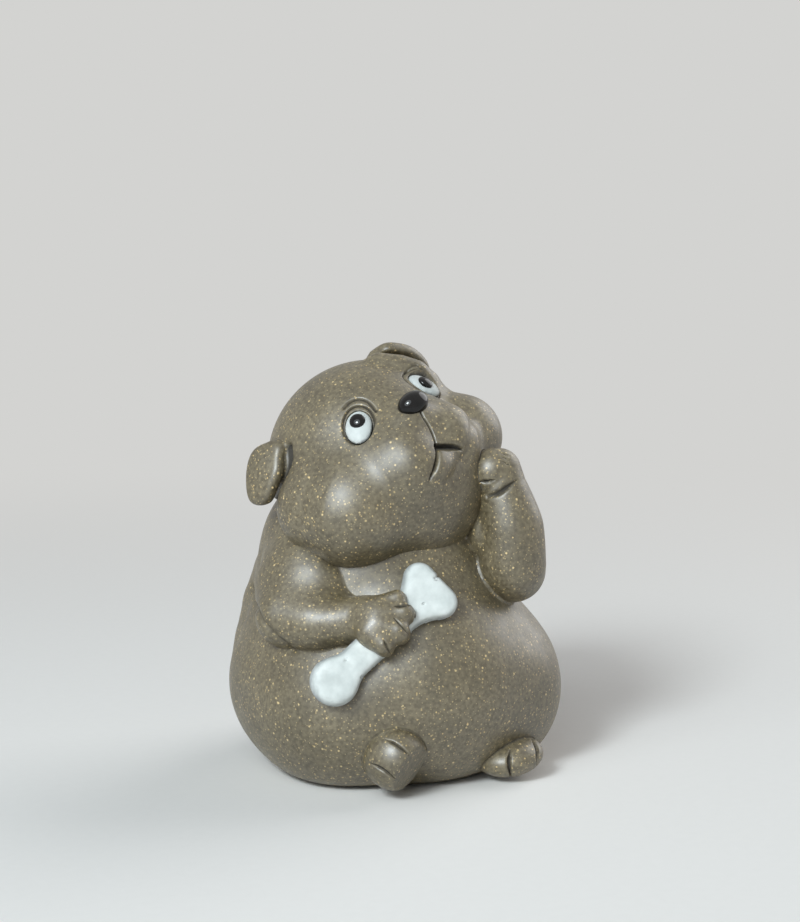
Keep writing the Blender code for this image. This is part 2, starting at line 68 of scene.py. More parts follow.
# %% [markdown]
# ## The camera
# A camera could be turned until the picture looks right. Here it is worked out instead: the
# photograph was taken from a little to the dog's right and a little above, and one known point
# of the dog lies at one known pixel. The same numbers then give the ray through any pixel, so
# a line that was cut into the clay can be laid where the photograph shows it.

# %% Camera
PHOTO_WIDTH, PHOTO_HEIGHT = 800, 922
LENS, SENSOR = 90.0, 36.0
CAMERA_AZIMUTH, CAMERA_ELEVATION, CAMERA_DISTANCE = -27.0, 10.0, 0.360
AIM_POINT, AIM_PIXEL = np.array([0.0, 0.0, 0.032]), np.array([394.0, 559.0])
FOCAL_PIXELS = LENS / SENSOR * PHOTO_HEIGHT
MIDDLE_PIXEL = np.array([PHOTO_WIDTH, PHOTO_HEIGHT]) / 2


def unit(vector):
    vector = np.asarray(vector, float)
    return vector / np.linalg.norm(vector, axis=-1, keepdims=True)


def camera_axes():
    """Right, up, forward and place of the camera, with the aim point at its pixel."""
    around, above = np.radians([CAMERA_AZIMUTH, CAMERA_ELEVATION])
    level = np.array([np.sin(around), -np.cos(around), 0.0])
    back = level * np.cos(above) + (0.0, 0.0, np.sin(above))
    right, forward = np.array([np.cos(around), np.sin(around), 0.0]), -back
    up = np.cross(right, forward)
    aside, below = np.arctan((AIM_PIXEL - MIDDLE_PIXEL) / FOCAL_PIXELS)
    tipped = forward * np.cos(below) + up * np.sin(below)
    up = up * np.cos(below) - forward * np.sin(below)
    forward = tipped * np.cos(aside) - right * np.sin(aside)
    right = right * np.cos(aside) + tipped * np.sin(aside)
    return right, up, forward, AIM_POINT + CAMERA_DISTANCE * back


RIGHT, UP, FORWARD, EYE_POINT = camera_axes()
camera_data = bpy.data.cameras.new("photo_camera")
camera_data.lens, camera_data.sensor_width = LENS, SENSOR
camera_data.clip_start, camera_data.clip_end = 0.01, 20.0
camera = bpy.data.objects.new("photo_camera", camera_data)
bpy.context.scene.collection.objects.link(camera)
camera_turn = Matrix(np.stack([RIGHT, UP, -FORWARD], axis=1)).to_4x4()
camera.matrix_world = Matrix.Translation(EYE_POINT) @ camera_turn
bpy.context.scene.camera = camera
print("camera at", EYE_POINT.round(4), "looking along", FORWARD.round(3))

# %% [markdown]
# ## Clay as distance
# Soft, hand-pressed clay has no profile to spin or extrude. Sculpting by hand would do it, but a
# script can't be handed a brush. Each form is instead a function that says how far a point lies
# from its surface, less than zero inside. Two balls of clay pressed together are the smooth
# minimum of two distances, with a fillet as wide as a thumb would leave, and a cut with a wooden
# knife adds a little to the distance along a line.

# %% Clay forms
MM = 0.001
FAR = 0.2


def turn(about_x, about_y, about_z):
    """Matrix that turns about X, then Y, then Z, by angles in degrees."""
    angles = np.radians([about_x, about_y, about_z])
    (cx, cy, cz), (sx, sy, sz) = np.cos(angles), np.sin(angles)
    x_turn = np.array([[1, 0, 0], [0, cx, -sx], [0, sx, cx]])
    y_turn = np.array([[cy, 0, sy], [0, 1, 0], [-sy, 0, cy]])
    z_turn = np.array([[cz, -sz, 0], [sz, cz, 0], [0, 0, 1]])
    return z_turn @ y_turn @ x_turn


def axes_of(normal, along):
    """Matrix whose columns are the side, along and normal directions."""
    normal = unit(normal)
    along = np.asarray(along, float)
    along = unit(along - normal * (along @ normal))
    return np.stack([np.cross(along, normal), along, normal], axis=1)


def ellipsoid(points, centre, radii, axes=None):
    local = points - np.asarray(centre, float)
    if axes is not None:
        local = local @ axes
    radii = np.asarray(radii, float)
    near = np.linalg.norm(local / radii, axis=-1)
    slope = np.linalg.norm(local / radii**2, axis=-1)
    return np.where(slope > 1e-6, near * (near - 1) / np.maximum(slope, 1e-6), -radii.min())


def roll(points, path, radii):
    """A tapered roll of clay along a path."""
    nearest = np.full(len(points), FAR)
    for start, end, first, last in zip(path[:-1], path[1:], radii[:-1], radii[1:]):
        span = end - start
        share = np.clip((points - start) @ span / (span @ span), 0, 1)
        away = np.linalg.norm(points - start - share[:, None] * span, axis=-1)
        nearest = np.minimum(nearest, away - first - (last - first) * share)
    return nearest


def blend(first, second, width):
    """Two forms pressed together, with a fillet of about this width."""
    share = np.clip(0.5 + 0.5 * (second - first) / width, 0, 1)
    return second + (first - second) * share - width * share * (1 - share)


def smooth_path(knots, steps):
    """A smooth run of points through the knots."""
    knots = np.asarray(knots, float)
    padded = np.vstack([2 * knots[0] - knots[1], knots, 2 * knots[-1] - knots[-2]])
    places = np.linspace(0, len(knots) - 1, steps)
    spans = np.minimum(places.astype(int), len(knots) - 2)
    share = (places - spans)[:, None]
    a, b, c, d = (padded[spans + shift] for shift in range(4))
    curve = 2 * b + (c - a) * share
    curve = curve + (2 * a - 5 * b + 4 * c - d) * share**2
    return 0.5 * (curve + (3 * b - a - 3 * c + d) * share**3)


print("clay forms: ellipsoids and rolls, blended with a fillet")

# %% Places in the photograph
MOST_STEPS, STEP_SHARE, CLOSE_ENOUGH = 80, 0.8, 5e-7
FIGURE_REACH, NUDGE = 0.06, 0.15 * MM


def surface_reach(form, starts, directions):
    """How far along each ray, from inside, a form's surface lies."""
    reach = np.zeros(len(directions))
    starts = np.broadcast_to(starts, directions.shape)
    left = np.arange(len(directions))
    for _ in range(MOST_STEPS):
        depth = form(starts[left] + directions[left] * reach[left, None])
        reach[left] -= STEP_SHARE * depth
        left = left[np.abs(depth) > CLOSE_ENOUGH]
        if not len(left):
            break
    return reach


def pixel_rays(pixels):
    offset = (np.atleast_2d(pixels) - MIDDLE_PIXEL) / FOCAL_PIXELS
    return unit(FORWARD + offset[:, :1] * RIGHT - offset[:, 1:] * UP)


def away_at(pixels, distances):
    """The points seen at these pixels, at these distances from the camera."""
    return EYE_POINT + pixel_rays(pixels) * np.asarray(distances)[:, None]


def seen_at(form, pixels):
    """The points of a form that the photograph shows at these pixels."""
    rays = pixel_rays(pixels)
    near = EYE_POINT + rays * (CAMERA_DISTANCE - FIGURE_REACH)
    return near + rays * surface_reach(lambda points: -form(points), near, rays)[:, None]


def on_plane(pixels, point, normal):
    """The points of a plane that the photograph shows at these pixels."""
    rays = pixel_rays(pixels)
    return EYE_POINT + rays * ((point - EYE_POINT) @ normal / (rays @ normal))[:, None]


def outward_of(form, point):
    """The way straight out of a form at a point."""
    nudge = NUDGE * np.eye(3)
    return unit(form(point + nudge) - form(point - nudge))


print("one pixel is", round(CAMERA_DISTANCE / FOCAL_PIXELS / MM, 3), "mm wide at the aim point")

# %% Knife cuts
SHARP, FADED = (0.0, 0.0), (1.2, 1.2)


def drawn(form, pixels, steps=16):
    """A smooth line on a form, through pixels of the photograph, and the way out at its middle."""
    path = seen_at(form, smooth_path(pixels, steps))
    return path, outward_of(form, path[steps // 2])


def crease(points, line, width, depth, fades=SHARP):
    """How far a knife cut along a line lowers the clay, fading at its ends by so many widths."""
    path, outward = line
    lowered = np.zeros(len(points))
    reach = 3 * width + abs(depth)
    near = np.all((points > path.min(axis=0) - reach) & (points < path.max(axis=0) + reach), axis=1)
    if near.any():
        beside = points[near] - np.outer(points[near] @ outward, outward)
        blade = path - np.outer(path @ outward, outward)
        along = np.linspace(0, 1, len(path))
        first, last = np.clip(1 - 3 * along, 0, 1), np.clip(3 * along - 2, 0, 1)
        away = roll(beside, blade, -width * (fades[0] * first + fades[1] * last))
        lowered[near] = depth * np.exp(-((away / width) ** 2))
    return lowered


def with_cuts(form, cuts, ground=None):
    """A form with knife cuts: (pixels, width, depth, fades) each, drawn on it or on its ground."""
    lines = [drawn(ground or form, cut[0]) for cut in cuts]

    def cut_form(points):
        made = form(points)
        for line, (_, width, depth, fades) in zip(lines, cuts):
            made = made + crease(points, line, width, depth, fades)
        return made

    return cut_form


print("a cut fades over the last third of its line, by up to", max(FADED), "widths")

# %% [markdown]
# ## Body and head as forms
# The body is five lumps and the head seven, pressed together: hips, chest, two haunches and a
# belly; a skull, a jaw, two cheeks, two jowls and a nose bridge. One smooth egg for each would
# lose the soft valleys between the lumps. Their sizes are the measured model's own.

# %% Body and head
BODY_WIDTH, BODY_DEPTH, BODY_HEIGHT, HEAD_WIDTH = 0.0500, 0.0484, 0.0490, 0.0316
HEAD_PITCH, HEAD_ROLL, HEAD_YAW = -42.6, -20.5, 12.7
HEAD_RADIUS = HEAD_WIDTH / 2
BODY_SIZE = np.array([BODY_WIDTH, BODY_DEPTH, BODY_HEIGHT])
BODY_AXIS = np.array([-0.02, 0.03]) * BODY_SIZE[:2]
HEAD_CENTRE = np.array([-0.076, 0.0, 0.982]) * BODY_SIZE
HEAD_TURN = turn(HEAD_PITCH, HEAD_ROLL, HEAD_YAW)
SKULL_PLACE, SKULL_RADII = (0, 0.063, 0.032), (1.0, 0.98, 0.962)
# Jaw, right and left cheek, right and left jowl, nose bridge: place, radii and fillet of each
HEAD_LUMPS = (
    ((0, -0.095, -0.456), (0.835, 0.823, 0.778), 0.32),
    ((-0.665, -0.222, -0.411), (0.481, 0.538, 0.538), 0.25),
    ((0.722, -0.348, -0.392), (0.392, 0.443, 0.411), 0.16),
    ((-0.253, -0.728, -0.475), (0.329, 0.348, 0.38), 0.25),
    ((0.266, -0.728, -0.443), (0.329, 0.348, 0.348), 0.13),
    ((0.019, -0.835, -0.19), (0.228, 0.228, 0.19), 0.19),
)


def whole_body(points):
    form = ellipsoid(points, [-0.012, 0.021, 0.269] * BODY_SIZE, [0.5, 0.5, 0.384] * BODY_SIZE)
    chest = ellipsoid(points, [-0.04, 0.041, 0.673] * BODY_SIZE, [0.37, 0.351, 0.327] * BODY_SIZE)
    form = blend(form, chest, 0.20 * BODY_HEIGHT)
    for side in (1, -1):
        haunch_centre = [0.27 * side, -0.145, 0.245] * BODY_SIZE
        haunch = ellipsoid(points, haunch_centre, [0.20, 0.248, 0.245] * BODY_SIZE)
        form = blend(form, haunch, 0.10 * BODY_WIDTH)
    belly = ellipsoid(points, [0.0, -0.217, 0.327] * BODY_SIZE, [0.28, 0.258, 0.286] * BODY_SIZE)
    form = blend(form, belly, 0.12 * BODY_WIDTH)
    return -blend(-form, points[..., 2], 0.04 * BODY_WIDTH)


def whole_head(points):
    local = (points - HEAD_CENTRE) @ HEAD_TURN / HEAD_RADIUS
    form = ellipsoid(local, SKULL_PLACE, SKULL_RADII)
    for centre, radii, fillet in HEAD_LUMPS:
        form = blend(form, ellipsoid(local, centre, radii), fillet)
    return form * HEAD_RADIUS


def head_point(place):
    return HEAD_CENTRE + HEAD_TURN @ np.asarray(place, float) * HEAD_RADIUS


def on_body(angle, height, lift):
    """A point this far off the body, at an angle from its front towards its left."""
    start = np.array([BODY_AXIS[0], BODY_AXIS[1], height * BODY_HEIGHT])
    direction = np.array([[np.sin(np.radians(angle)), -np.cos(np.radians(angle)), 0.0]])
    return start + direction[0] * (surface_reach(whole_body, start, direction)[0] + lift)


def on_head(place, lift):
    """The point of the head's surface towards a place in its frame, and the way out there."""
    outward = unit(HEAD_TURN @ np.asarray(place, float))
    reach = surface_reach(whole_head, HEAD_CENTRE, outward[None])[0]
    return HEAD_CENTRE + outward * (reach + lift), outward


print("head centre", HEAD_CENTRE.round(4), "body size", BODY_SIZE)

# %% [markdown]
# ## Arms
# The arms are tapered rolls, bent and pressed onto the body while wet. A curve with a bevel would
# give a roll, but not the smear of clay at the shoulder, so a roll is again a distance, along
# a smooth path through points that lie just off the body.

# %% Arms
UPPER_ARM_WIDTH, WRIST_WIDTH = 0.0116, 0.0068
WIDE, THIN = UPPER_ARM_WIDTH / 2, WRIST_WIDTH / 2
PAW_WIDTH = 0.0088
PAW = PAW_WIDTH / 2
STEPS = 60
LEFT_PAW_PLACE = (0.55, -0.61, -0.94)
left_paw_centre, left_paw_out = on_head(LEFT_PAW_PLACE, 0.28 * PAW)


def arm_radii(shares):
    widths = THIN + (WIDE - THIN) * np.asarray(shares, float)
    return np.interp(np.linspace(0, len(shares) - 1, STEPS), np.arange(len(shares)), widths)


shoulder_centre = on_body(-71.0, 0.595, -0.24 * UPPER_ARM_WIDTH)
SHOULDER_RADII = np.array([0.72, 0.70, 0.55]) * UPPER_ARM_WIDTH
shoulder_axes = axes_of(outward_of(whole_body, shoulder_centre), (0.0, 0.0, 1.0))
print("right shoulder at", shoulder_centre.round(4), "left paw at", left_paw_centre.round(4))

# %% Paths of the arms
right_arm_path = smooth_path(
    [
        on_body(-68.0, 0.530, 0.12 * UPPER_ARM_WIDTH),
        on_body(-55.0, 0.525, 0.08 * UPPER_ARM_WIDTH),
        on_body(-45.9, 0.530, 0.13 * WRIST_WIDTH),
        on_body(-34.0, 0.551, 0.25 * WRIST_WIDTH),
    ],
    STEPS,
)
left_arm_path = smooth_path(
    [
        on_body(62.7, 0.694, -0.1 * UPPER_ARM_WIDTH),
        on_body(48.0, 0.640, 0.2 * UPPER_ARM_WIDTH),
        on_body(39.0, 0.667, 0.35 * UPPER_ARM_WIDTH),
        on_body(36.9, 0.786, 0.53 * UPPER_ARM_WIDTH),
        on_body(35.6, 0.908, 0.78 * UPPER_ARM_WIDTH),
        left_paw_centre + (1.0 * MM, -0.2 * MM, 0.2 * MM),
    ],
    STEPS,
)
RIGHT_ARM_RADII = arm_radii([0.5, 0.4, 0.12, -0.06])
LEFT_ARM_RADII = arm_radii([0.42, 0.6, 0.74, 0.62, 0.15, -0.05])


def right_arm_form(points):
    shoulder = ellipsoid(points, shoulder_centre, SHOULDER_RADII, shoulder_axes)
    return blend(shoulder, roll(points, right_arm_path, RIGHT_ARM_RADII), 0.25 * UPPER_ARM_WIDTH)


LEFT_WEB_PIXEL, LEFT_WEB_RADII = (478.0, 531.0), np.array([1.5, 3.2, 2.2]) * MM
left_web = on_plane(LEFT_WEB_PIXEL, left_arm_path[STEPS // 2], FORWARD)[0]
CAMERA_AXES = np.stack([RIGHT, UP, FORWARD], axis=1)


def left_arm_form(points):
    """The raised arm, with a web of clay that closes the gap under the chin."""
    form = roll(points, left_arm_path, LEFT_ARM_RADII)
    return blend(form, ellipsoid(points, left_web, LEFT_WEB_RADII, CAMERA_AXES), 1.5 * MM)


print("arms:", RIGHT_ARM_RADII.round(4)[[0, -1]], LEFT_ARM_RADII.round(4)[[0, -1]])

# %% [markdown]
# ## From a form to a mesh
# A grid of cubes could be cut along each form, but its faces come out uneven. A ball has even
# rings of quads, and every point of it is pushed out from a core until it meets the form, as clay
# is pressed into a mould, so the mesh stays closed and in order. A piece that is luted on brings
# its own fillet, which thins out and dips just under the surface that carries it, so no seam
# shows where wet clay was smoothed over.

# %% Pressing clay onto clay
SINK, DIVE, DIVE_FROM, FLANGE = 0.004 * MM, 0.25, 0.8, 1.6


def press(own, ground, fillet):
    """One distance pressed onto another, with a fillet that dives under it past its edge."""
    past = np.maximum(own - DIVE_FROM * fillet, 0)
    dip = SINK + DIVE * past**2 / fillet
    return np.maximum(blend(own, ground + dip, fillet), own - FLANGE * fillet)


def luted(piece, ground, fillet):
    """A piece with a fillet onto the ground it sits on."""
    return lambda points: press(piece(points), ground(points), fillet)


print("a luted edge ends", SINK / MM, "mm under the clay that carries it")

# %% Settling a ball on a form
DENSITY = 1.0
OFF_POLE = (0.1, 0.2, 0.3)


def ball(segments, rings):
    shape = bmesh.new()
    segments, rings = int(segments * DENSITY), int(rings * DENSITY)
    bmesh.ops.create_uvsphere(shape, u_segments=segments, v_segments=rings, radius=1.0)
    return shape, np.array([vert.co[:] for vert in shape.verts])


def move_points(shape, points):
    for vert, point in zip(shape.verts, points):
        vert.co = point
    return shape


def ball_rays(points, pole, crowd, stretch):
    """Rays from a ball's middle to its points, with the ball's top turned to a pole."""
    points = unit(points)
    tilt = np.pi * (np.arccos(np.clip(points[:, 2], -1, 1)) / np.pi) ** crowd
    around = np.arctan2(points[:, 1], points[:, 0])
    circle = np.stack([np.cos(around), np.sin(around)], axis=1)
    flat = np.column_stack([np.sin(tilt)[:, None] * circle, np.cos(tilt)])
    rays = flat @ axes_of(pole, np.roll(pole, 1) + OFF_POLE).T
    return unit(rays + np.outer(rays @ stretch, stretch))


def settle(form, core, pole, segments, rings, crowd=1.0, stretch=(0.0, 0.0, 0.0), finer=()):
    """A ball pushed out from its core to a form. A crowd above 1 gathers its rings at the pole,
    and the faces around each finer (direction, spread) are divided first."""
    shape, points = ball(segments, rings)
    for direction, spread in finer:
        rays = ball_rays(points, pole, crowd, stretch)
        close = rays @ unit(direction) > np.cos(np.radians(spread))
        shape.verts.index_update()
        edges = [edge for edge in shape.edges if all(close[vert.index] for vert in edge.verts)]
        bmesh.ops.subdivide_edges(shape, edges=edges, cuts=1, use_grid_fill=True)
        points = np.array([vert.co[:] for vert in shape.verts])
    rays = ball_rays(points, pole, crowd, stretch)
    return move_points(shape, core + rays * surface_reach(form, core, rays)[:, None])


def settle_along(form, path, toward, segments, rings, cap=0.25):
    """A ball drawn out along a path and pushed out to a form. Its seam lies on the side named."""
    shape, points = ball(segments, rings)
    share = np.arccos(np.clip(-points[:, 2], -1, 1)) / np.pi
    place = np.clip((share - cap) / (1 - 2 * cap), 0, 1) * (len(path) - 1)
    tilt = np.where(share < cap, share / cap, 1 + np.clip((share - 1 + cap) / cap, 0, 1))
    tilt = tilt[:, None] * np.pi / 2
    around = np.arctan2(points[:, 1], points[:, 0])[:, None]
    index = np.arange(len(path))

    def at(values):
        columns = [np.interp(place, index, column) for column in np.transpose(values)]
        return np.stack(columns, axis=1)

    forward = unit(at(np.gradient(path, axis=0)))
    across = at(toward)
    across = unit(across - forward * np.sum(across * forward, axis=1)[:, None])
    radial = np.cos(around) * across + np.sin(around) * np.cross(forward, across)
    rays = -np.cos(tilt) * forward + np.sin(tilt) * radial
    starts = at(path)
    return move_points(shape, starts + rays * surface_reach(form, starts, rays)[:, None])


print("mesh density", DENSITY)

# %% From a mesh to a piece
PIECES = {}
BEND_SMOOTHING = 2


def mark(data, name, values):
    """Stores a value at each point of a mesh, for its finish to read."""
    stored = data.attributes.new(name, "FLOAT", "POINT")
    stored.data.foreach_set("value", values.astype(np.float32))


def points_of(data, kind):
    """The places or the normals of a mesh's points."""
    found = np.empty(3 * len(data.vertices))
    data.vertices.foreach_get(kind, found)
    return found.reshape(-1, 3)


def mark_bends(data):
    """Stores how sharply a mesh bends at each point, per metre: above zero in a hollow."""
    points, normals = points_of(data, "co"), points_of(data, "normal")
    count = len(points)
    ends = np.empty(2 * len(data.edges), int)
    data.edges.foreach_get("vertices", ends)
    first, last = np.concatenate([ends.reshape(-1, 2), ends.reshape(-1, 2)[:, ::-1]]).T
    span = points[last] - points[first]
    rise = 2 * np.sum(span * normals[first], axis=1) / np.sum(span**2, axis=1)
    neighbours = np.bincount(first, minlength=count)
    bend = np.bincount(first, rise, count) / neighbours
    for _ in range(BEND_SMOOTHING):
        bend = (bend + np.bincount(first, bend[last], count) / neighbours) / 2
    mark(data, "bend", bend)


def mark_cuts(data, uncut):
    """Stores how deep under the uncut clay each point of a mesh lies, in metres, for the painted
    shade and the matt in cuts.
    """
    mark(data, "cut", np.maximum(-uncut(points_of(data, "co")), 0))


def add_piece(node, shape, finish, uncut=None):
    """A piece that stands for a node of the frame and hides it, named after its finish."""
    name = node + "_" + finish
    data = bpy.data.meshes.new(name)
    shape.to_mesh(data)
    shape.free()
    data.shade_smooth()
    mark_bends(data)
    if uncut is not None:
        mark_cuts(data, uncut)
    piece = bpy.data.objects.new(name, data)
    bpy.context.scene.collection.objects.link(piece)
    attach(piece, "root")
    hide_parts(node)
    PIECES[name] = piece
    print(name, len(data.polygons), "faces")
    return piece


print("each piece stores its bends, and its cuts where it has any")

# %% [markdown]
# ## Body
# The body is a thin shell around a hollow, open at the base. Its flank is full behind the right
# arm, and a crease runs round the elbow, where the roll was pushed into the soft side. A cutter
# could hollow it out, but one ball makes all of it: its upper rings run down the outside to the
# opening, one ring makes the opening's edge, and the rings that are left run back up inside.

# %% Flank and elbow
SIDE_PIXELS, SIDE_DISTANCE = [(281, 575), (275, 602), (266, 632)], 366.0 * MM
SIDE_RADII, SIDE_BLEND = np.array([3.6, 4.4, 3.4]) * MM, 4.0 * MM
ELBOW_CREASE_PIXELS = [(252, 587), (255, 603), (262, 620), (275, 635), (291, 648)]
ELBOW_WIDTH, ELBOW_DEPTH = 0.55 * MM, 0.40 * MM
side_path = EYE_POINT + pixel_rays(SIDE_PIXELS) * SIDE_DISTANCE


def sided_body(points):
    """The body with the full flank behind its right arm."""
    return blend(whole_body(points), roll(points, side_path, SIDE_RADII), SIDE_BLEND)


def body_and_arm(points):
    return np.minimum(sided_body(points), right_arm_form(points))


ELBOW_CREASE = drawn(body_and_arm, ELBOW_CREASE_PIXELS)


def creased_body(points, depth=ELBOW_DEPTH):
    return sided_body(points) + crease(points, ELBOW_CREASE, ELBOW_WIDTH, depth)


# Uncut clay for the elbow's painted shade: half the crease counts as uncut, so the crease is
# painted half as dark
def softer_body(points):
    return creased_body(points, 0.5 * ELBOW_DEPTH)


print("elbow crease", ELBOW_WIDTH / MM, "mm wide and", ELBOW_DEPTH / MM, "mm deep")

# %% Body shell
WALL, GAP, BASE_RADIUS = 0.0030, 0.0003, 0.0120
BODY_CORE = np.array([0.0, 0.0, 0.42 * BODY_HEIGHT])
BODY_SEGMENTS, BODY_RINGS, OUTSIDE_SHARE = 360, 220, 0.85


def body_inside(points):
    body = whole_body(points)
    return np.maximum(body, body - whole_head(points) + GAP) + WALL


def body_shape():
    shape, points = ball(BODY_SEGMENTS, BODY_RINGS)
    rings = int(BODY_RINGS * DENSITY)
    last = int(OUTSIDE_SHARE * rings)
    ring = np.round(np.arccos(np.clip(points[:, 2], -1, 1)) / np.pi * rings)
    around = np.arctan2(points[:, 1], points[:, 0])
    circle = np.stack([np.cos(around), np.sin(around)], axis=1)
    opening = BASE_RADIUS + GAP
    rim_tilt = np.pi - np.arctan(opening / BODY_CORE[2])
    outside, edge = ring <= last, ring == last + 1
    tilt = rim_tilt * np.where(outside, ring / last, (rings - ring) / (rings - last - 2))
    rays = np.column_stack([np.sin(tilt)[:, None] * circle, np.cos(tilt)])
    reach = np.zeros(len(rays))
    reach[outside] = surface_reach(creased_body, BODY_CORE, rays[outside])
    reach[~outside] = surface_reach(body_inside, BODY_CORE, rays[~outside])
    placed = BODY_CORE + rays * reach[:, None]
    placed[edge] = np.column_stack([opening * circle[edge], np.full(edge.sum(), WALL)])
    return move_points(shape, placed)


add_piece("body_shell", body_shape(), "clay", softer_body)

# %% [markdown]
# ## Head
# The head is one ball with its pole on the muzzle, so that its points lie closest together where
# the eyes and the mouth are cut. The eyelids, the groove down the muzzle and the mouth were cut
# into leather-hard clay with a knife, and each is a line laid through pixels of the photograph.
# Bump in the finish would be less work, but it wouldn't show in the outline or in the mesh.

# %% Face sizes and places
EYE_HEIGHT, PUPIL_WIDTH, NOSE_WIDTH = 0.0053, 0.0024, 0.0052
EYE_RADII = np.array([0.385, 0.5, 0.2]) * EYE_HEIGHT
PUPIL_RADII = np.array([0.5, 0.5, 0.26]) * PUPIL_WIDTH
NOSE_RADII = np.array([0.5, 0.37, 0.4]) * NOSE_WIDTH
RIGHT_EYE_PLACE, RIGHT_EYE_LEAN, RIGHT_EYE_LOOK = (-0.452, -0.834, 0.052), 36.0, (0.0, 0.12)
LEFT_EYE_PLACE, LEFT_EYE_LEAN, LEFT_EYE_LOOK = (0.472, -0.811, 0.098), -33.0, (-0.12, 0.04)
NOSE_PLACE = (0.036, -1.0, -0.095)
EYE_COAT_THIN = 0.25
RIGHT_LID_PIXELS = [(344, 408), (350, 402), (359, 399), (368, 402), (376, 411)]
LEFT_LID_PIXELS = [(405, 373), (409, 368), (415, 365), (422, 368)]
MUZZLE_LINE_PIXELS = [(421, 412), (424, 418), (429, 426), (434, 437), (437, 447)]
MOUTH_PIXELS = [(437, 447), (445, 447), (454, 447), (463, 449)]
JOWL_EDGE_PIXELS = [(437, 447), (438, 455), (436, 466), (430, 481)]
CHEEK_VALLEY_PIXELS = [(441, 396), (453, 401), (466, 410), (473, 422), (474, 436), (471, 448)]
EAR_SHADOW_PIXELS = [(288, 449), (289, 463), (287, 481), (282, 496), (275, 507)]
FACE_VALLEYS = ((CHEEK_VALLEY_PIXELS, 1.20 * MM, 0.50 * MM, SHARP),)
FACE_CUTS = (
    (MUZZLE_LINE_PIXELS, 0.18 * MM, 0.34 * MM, SHARP),
    (MOUTH_PIXELS, 0.34 * MM, 1.10 * MM, (0.0, 0.9)),
    (JOWL_EDGE_PIXELS, 0.28 * MM, 0.85 * MM, (0.0, 0.8)),
    (EAR_SHADOW_PIXELS, 0.60 * MM, 1.10 * MM, SHARP),
)
mouth_ends = seen_at(whole_head, [MOUTH_PIXELS[0], MOUTH_PIXELS[-1]])
print("mouth is", round(np.linalg.norm(mouth_ends[1] - mouth_ends[0]) / MM, 1), "mm long")


# %% Eyes' places on the head
def dot_axes(outward, lean=0.0):
    """Side, along and outward axes on the head. The along axis leans from the head's own up."""
    side, along, outward = axes_of(outward, HEAD_TURN[:, 2]).T
    tip = np.radians(lean)
    return axes_of(outward, along * np.cos(tip) + side * np.sin(tip))


def eye_seat(place, lean):
    """The middle of an eye, a little under the head's surface, and its axes."""
    centre, _ = on_head(place, -0.06 * EYE_HEIGHT)
    return centre, dot_axes(outward_of(whole_head, centre), lean)


EYES = {
    "right": (*eye_seat(RIGHT_EYE_PLACE, RIGHT_EYE_LEAN), RIGHT_EYE_LOOK),
    "left": (*eye_seat(LEFT_EYE_PLACE, LEFT_EYE_LEAN), LEFT_EYE_LOOK),
}
print("eyes at", [seat[0].round(4) for seat in EYES.values()])

# %% Brow and cheek
BROW_PIXELS = [(379, 365), (399, 369), (415, 374), (427, 383), (436, 394)]
BROW_DISTANCES = np.array([353.5, 353.5, 353.5, 354.5, 355.5]) * MM
BROW_RADII, BROW_BLEND = np.array([1.9, 2.2, 2.2, 2.0, 1.5]) * MM, 1.6 * MM
CHEEK_PIXELS = [(308, 506), (323, 508), (348, 513)]
CHEEK_DISTANCES = np.array([352.5, 346.5, 344.5]) * MM
CHEEK_RADII, CHEEK_BLEND = np.array([4.6, 6.9, 8.0]) * MM, 2.5 * MM
brow_path = away_at(BROW_PIXELS, BROW_DISTANCES)
cheek_path = away_at(CHEEK_PIXELS, CHEEK_DISTANCES)


def browed_head(points):
    """The head with the brow over its left eye and the full right cheek over the shoulder."""
    form = blend(whole_head(points), roll(points, cheek_path, CHEEK_RADII), CHEEK_BLEND)
    return blend(form, roll(points, brow_path, BROW_RADII), BROW_BLEND)


print("brow", round(np.linalg.norm(brow_path[-1] - brow_path[0]) / MM, 1), "mm long")


# %% Lids
LID_ROOM, LID_RISE, RING_POINTS = np.array([0.32, 0.55]) * MM, 0.35 * MM, 41
LID_WIDTH, LID_DEPTH, RING_WIDTH, RING_DEPTH = np.array([0.20, 0.46, 0.17, 0.40]) * MM
LID_SHARES = (1.0, 0.5)


def eye_ring(centre, axes):
    """A ring on the head around an eye, a little higher than the eye itself."""
    angles = np.radians(np.linspace(0, 360, RING_POINTS))
    side, along = EYE_RADII[:2] + LID_ROOM
    ring = [side * np.cos(angles), along * np.sin(angles) + LID_RISE, 0 * angles]
    ring = centre + np.stack(ring, axis=1) @ axes.T
    for _ in range(4):
        ring = ring - browed_head(ring)[:, None] * axes[:, 2]
    return ring


LID_RINGS = [(eye_ring(centre, axes), axes[:, 2]) for centre, axes, _ in EYES.values()]
LIDS = [drawn(whole_head, RIGHT_LID_PIXELS), drawn(browed_head, LEFT_LID_PIXELS)]
print("lid lines:", len(LIDS) + len(LID_RINGS))

# %% Head
SOCKET_STRETCH, SOCKET_ROOM, SOCKET_EDGE = (1.0, 1.0, 1.6), 0.10 * MM, 0.15 * MM
MUZZLE_WAY = HEAD_TURN @ unit((0.0, -1.0, -0.1))
MOUTH_CORNER_PIXEL, MOUTH_SPREAD, EYE_SPREAD = (440, 446), 14.0, 15.0
# The valleys count as uncut clay, so only the knife lines and lids get painted shade
soft_head = with_cuts(browed_head, FACE_VALLEYS, whole_head)
lined_head = with_cuts(soft_head, FACE_CUTS, whole_head)


def cut_head(points):
    """The head with its lines, lids and eye sockets."""
    form = lined_head(points)
    for line, ring, share in zip(LIDS, LID_RINGS, LID_SHARES):
        form = form + crease(points, line, LID_WIDTH, LID_DEPTH * share)
        form = form + crease(points, ring, RING_WIDTH, RING_DEPTH * share)
    for centre, axes, _ in EYES.values():
        socket = ellipsoid(points, centre, EYE_RADII * SOCKET_STRETCH + SOCKET_ROOM, axes)
        form = -blend(-form, socket, SOCKET_EDGE)
    return form


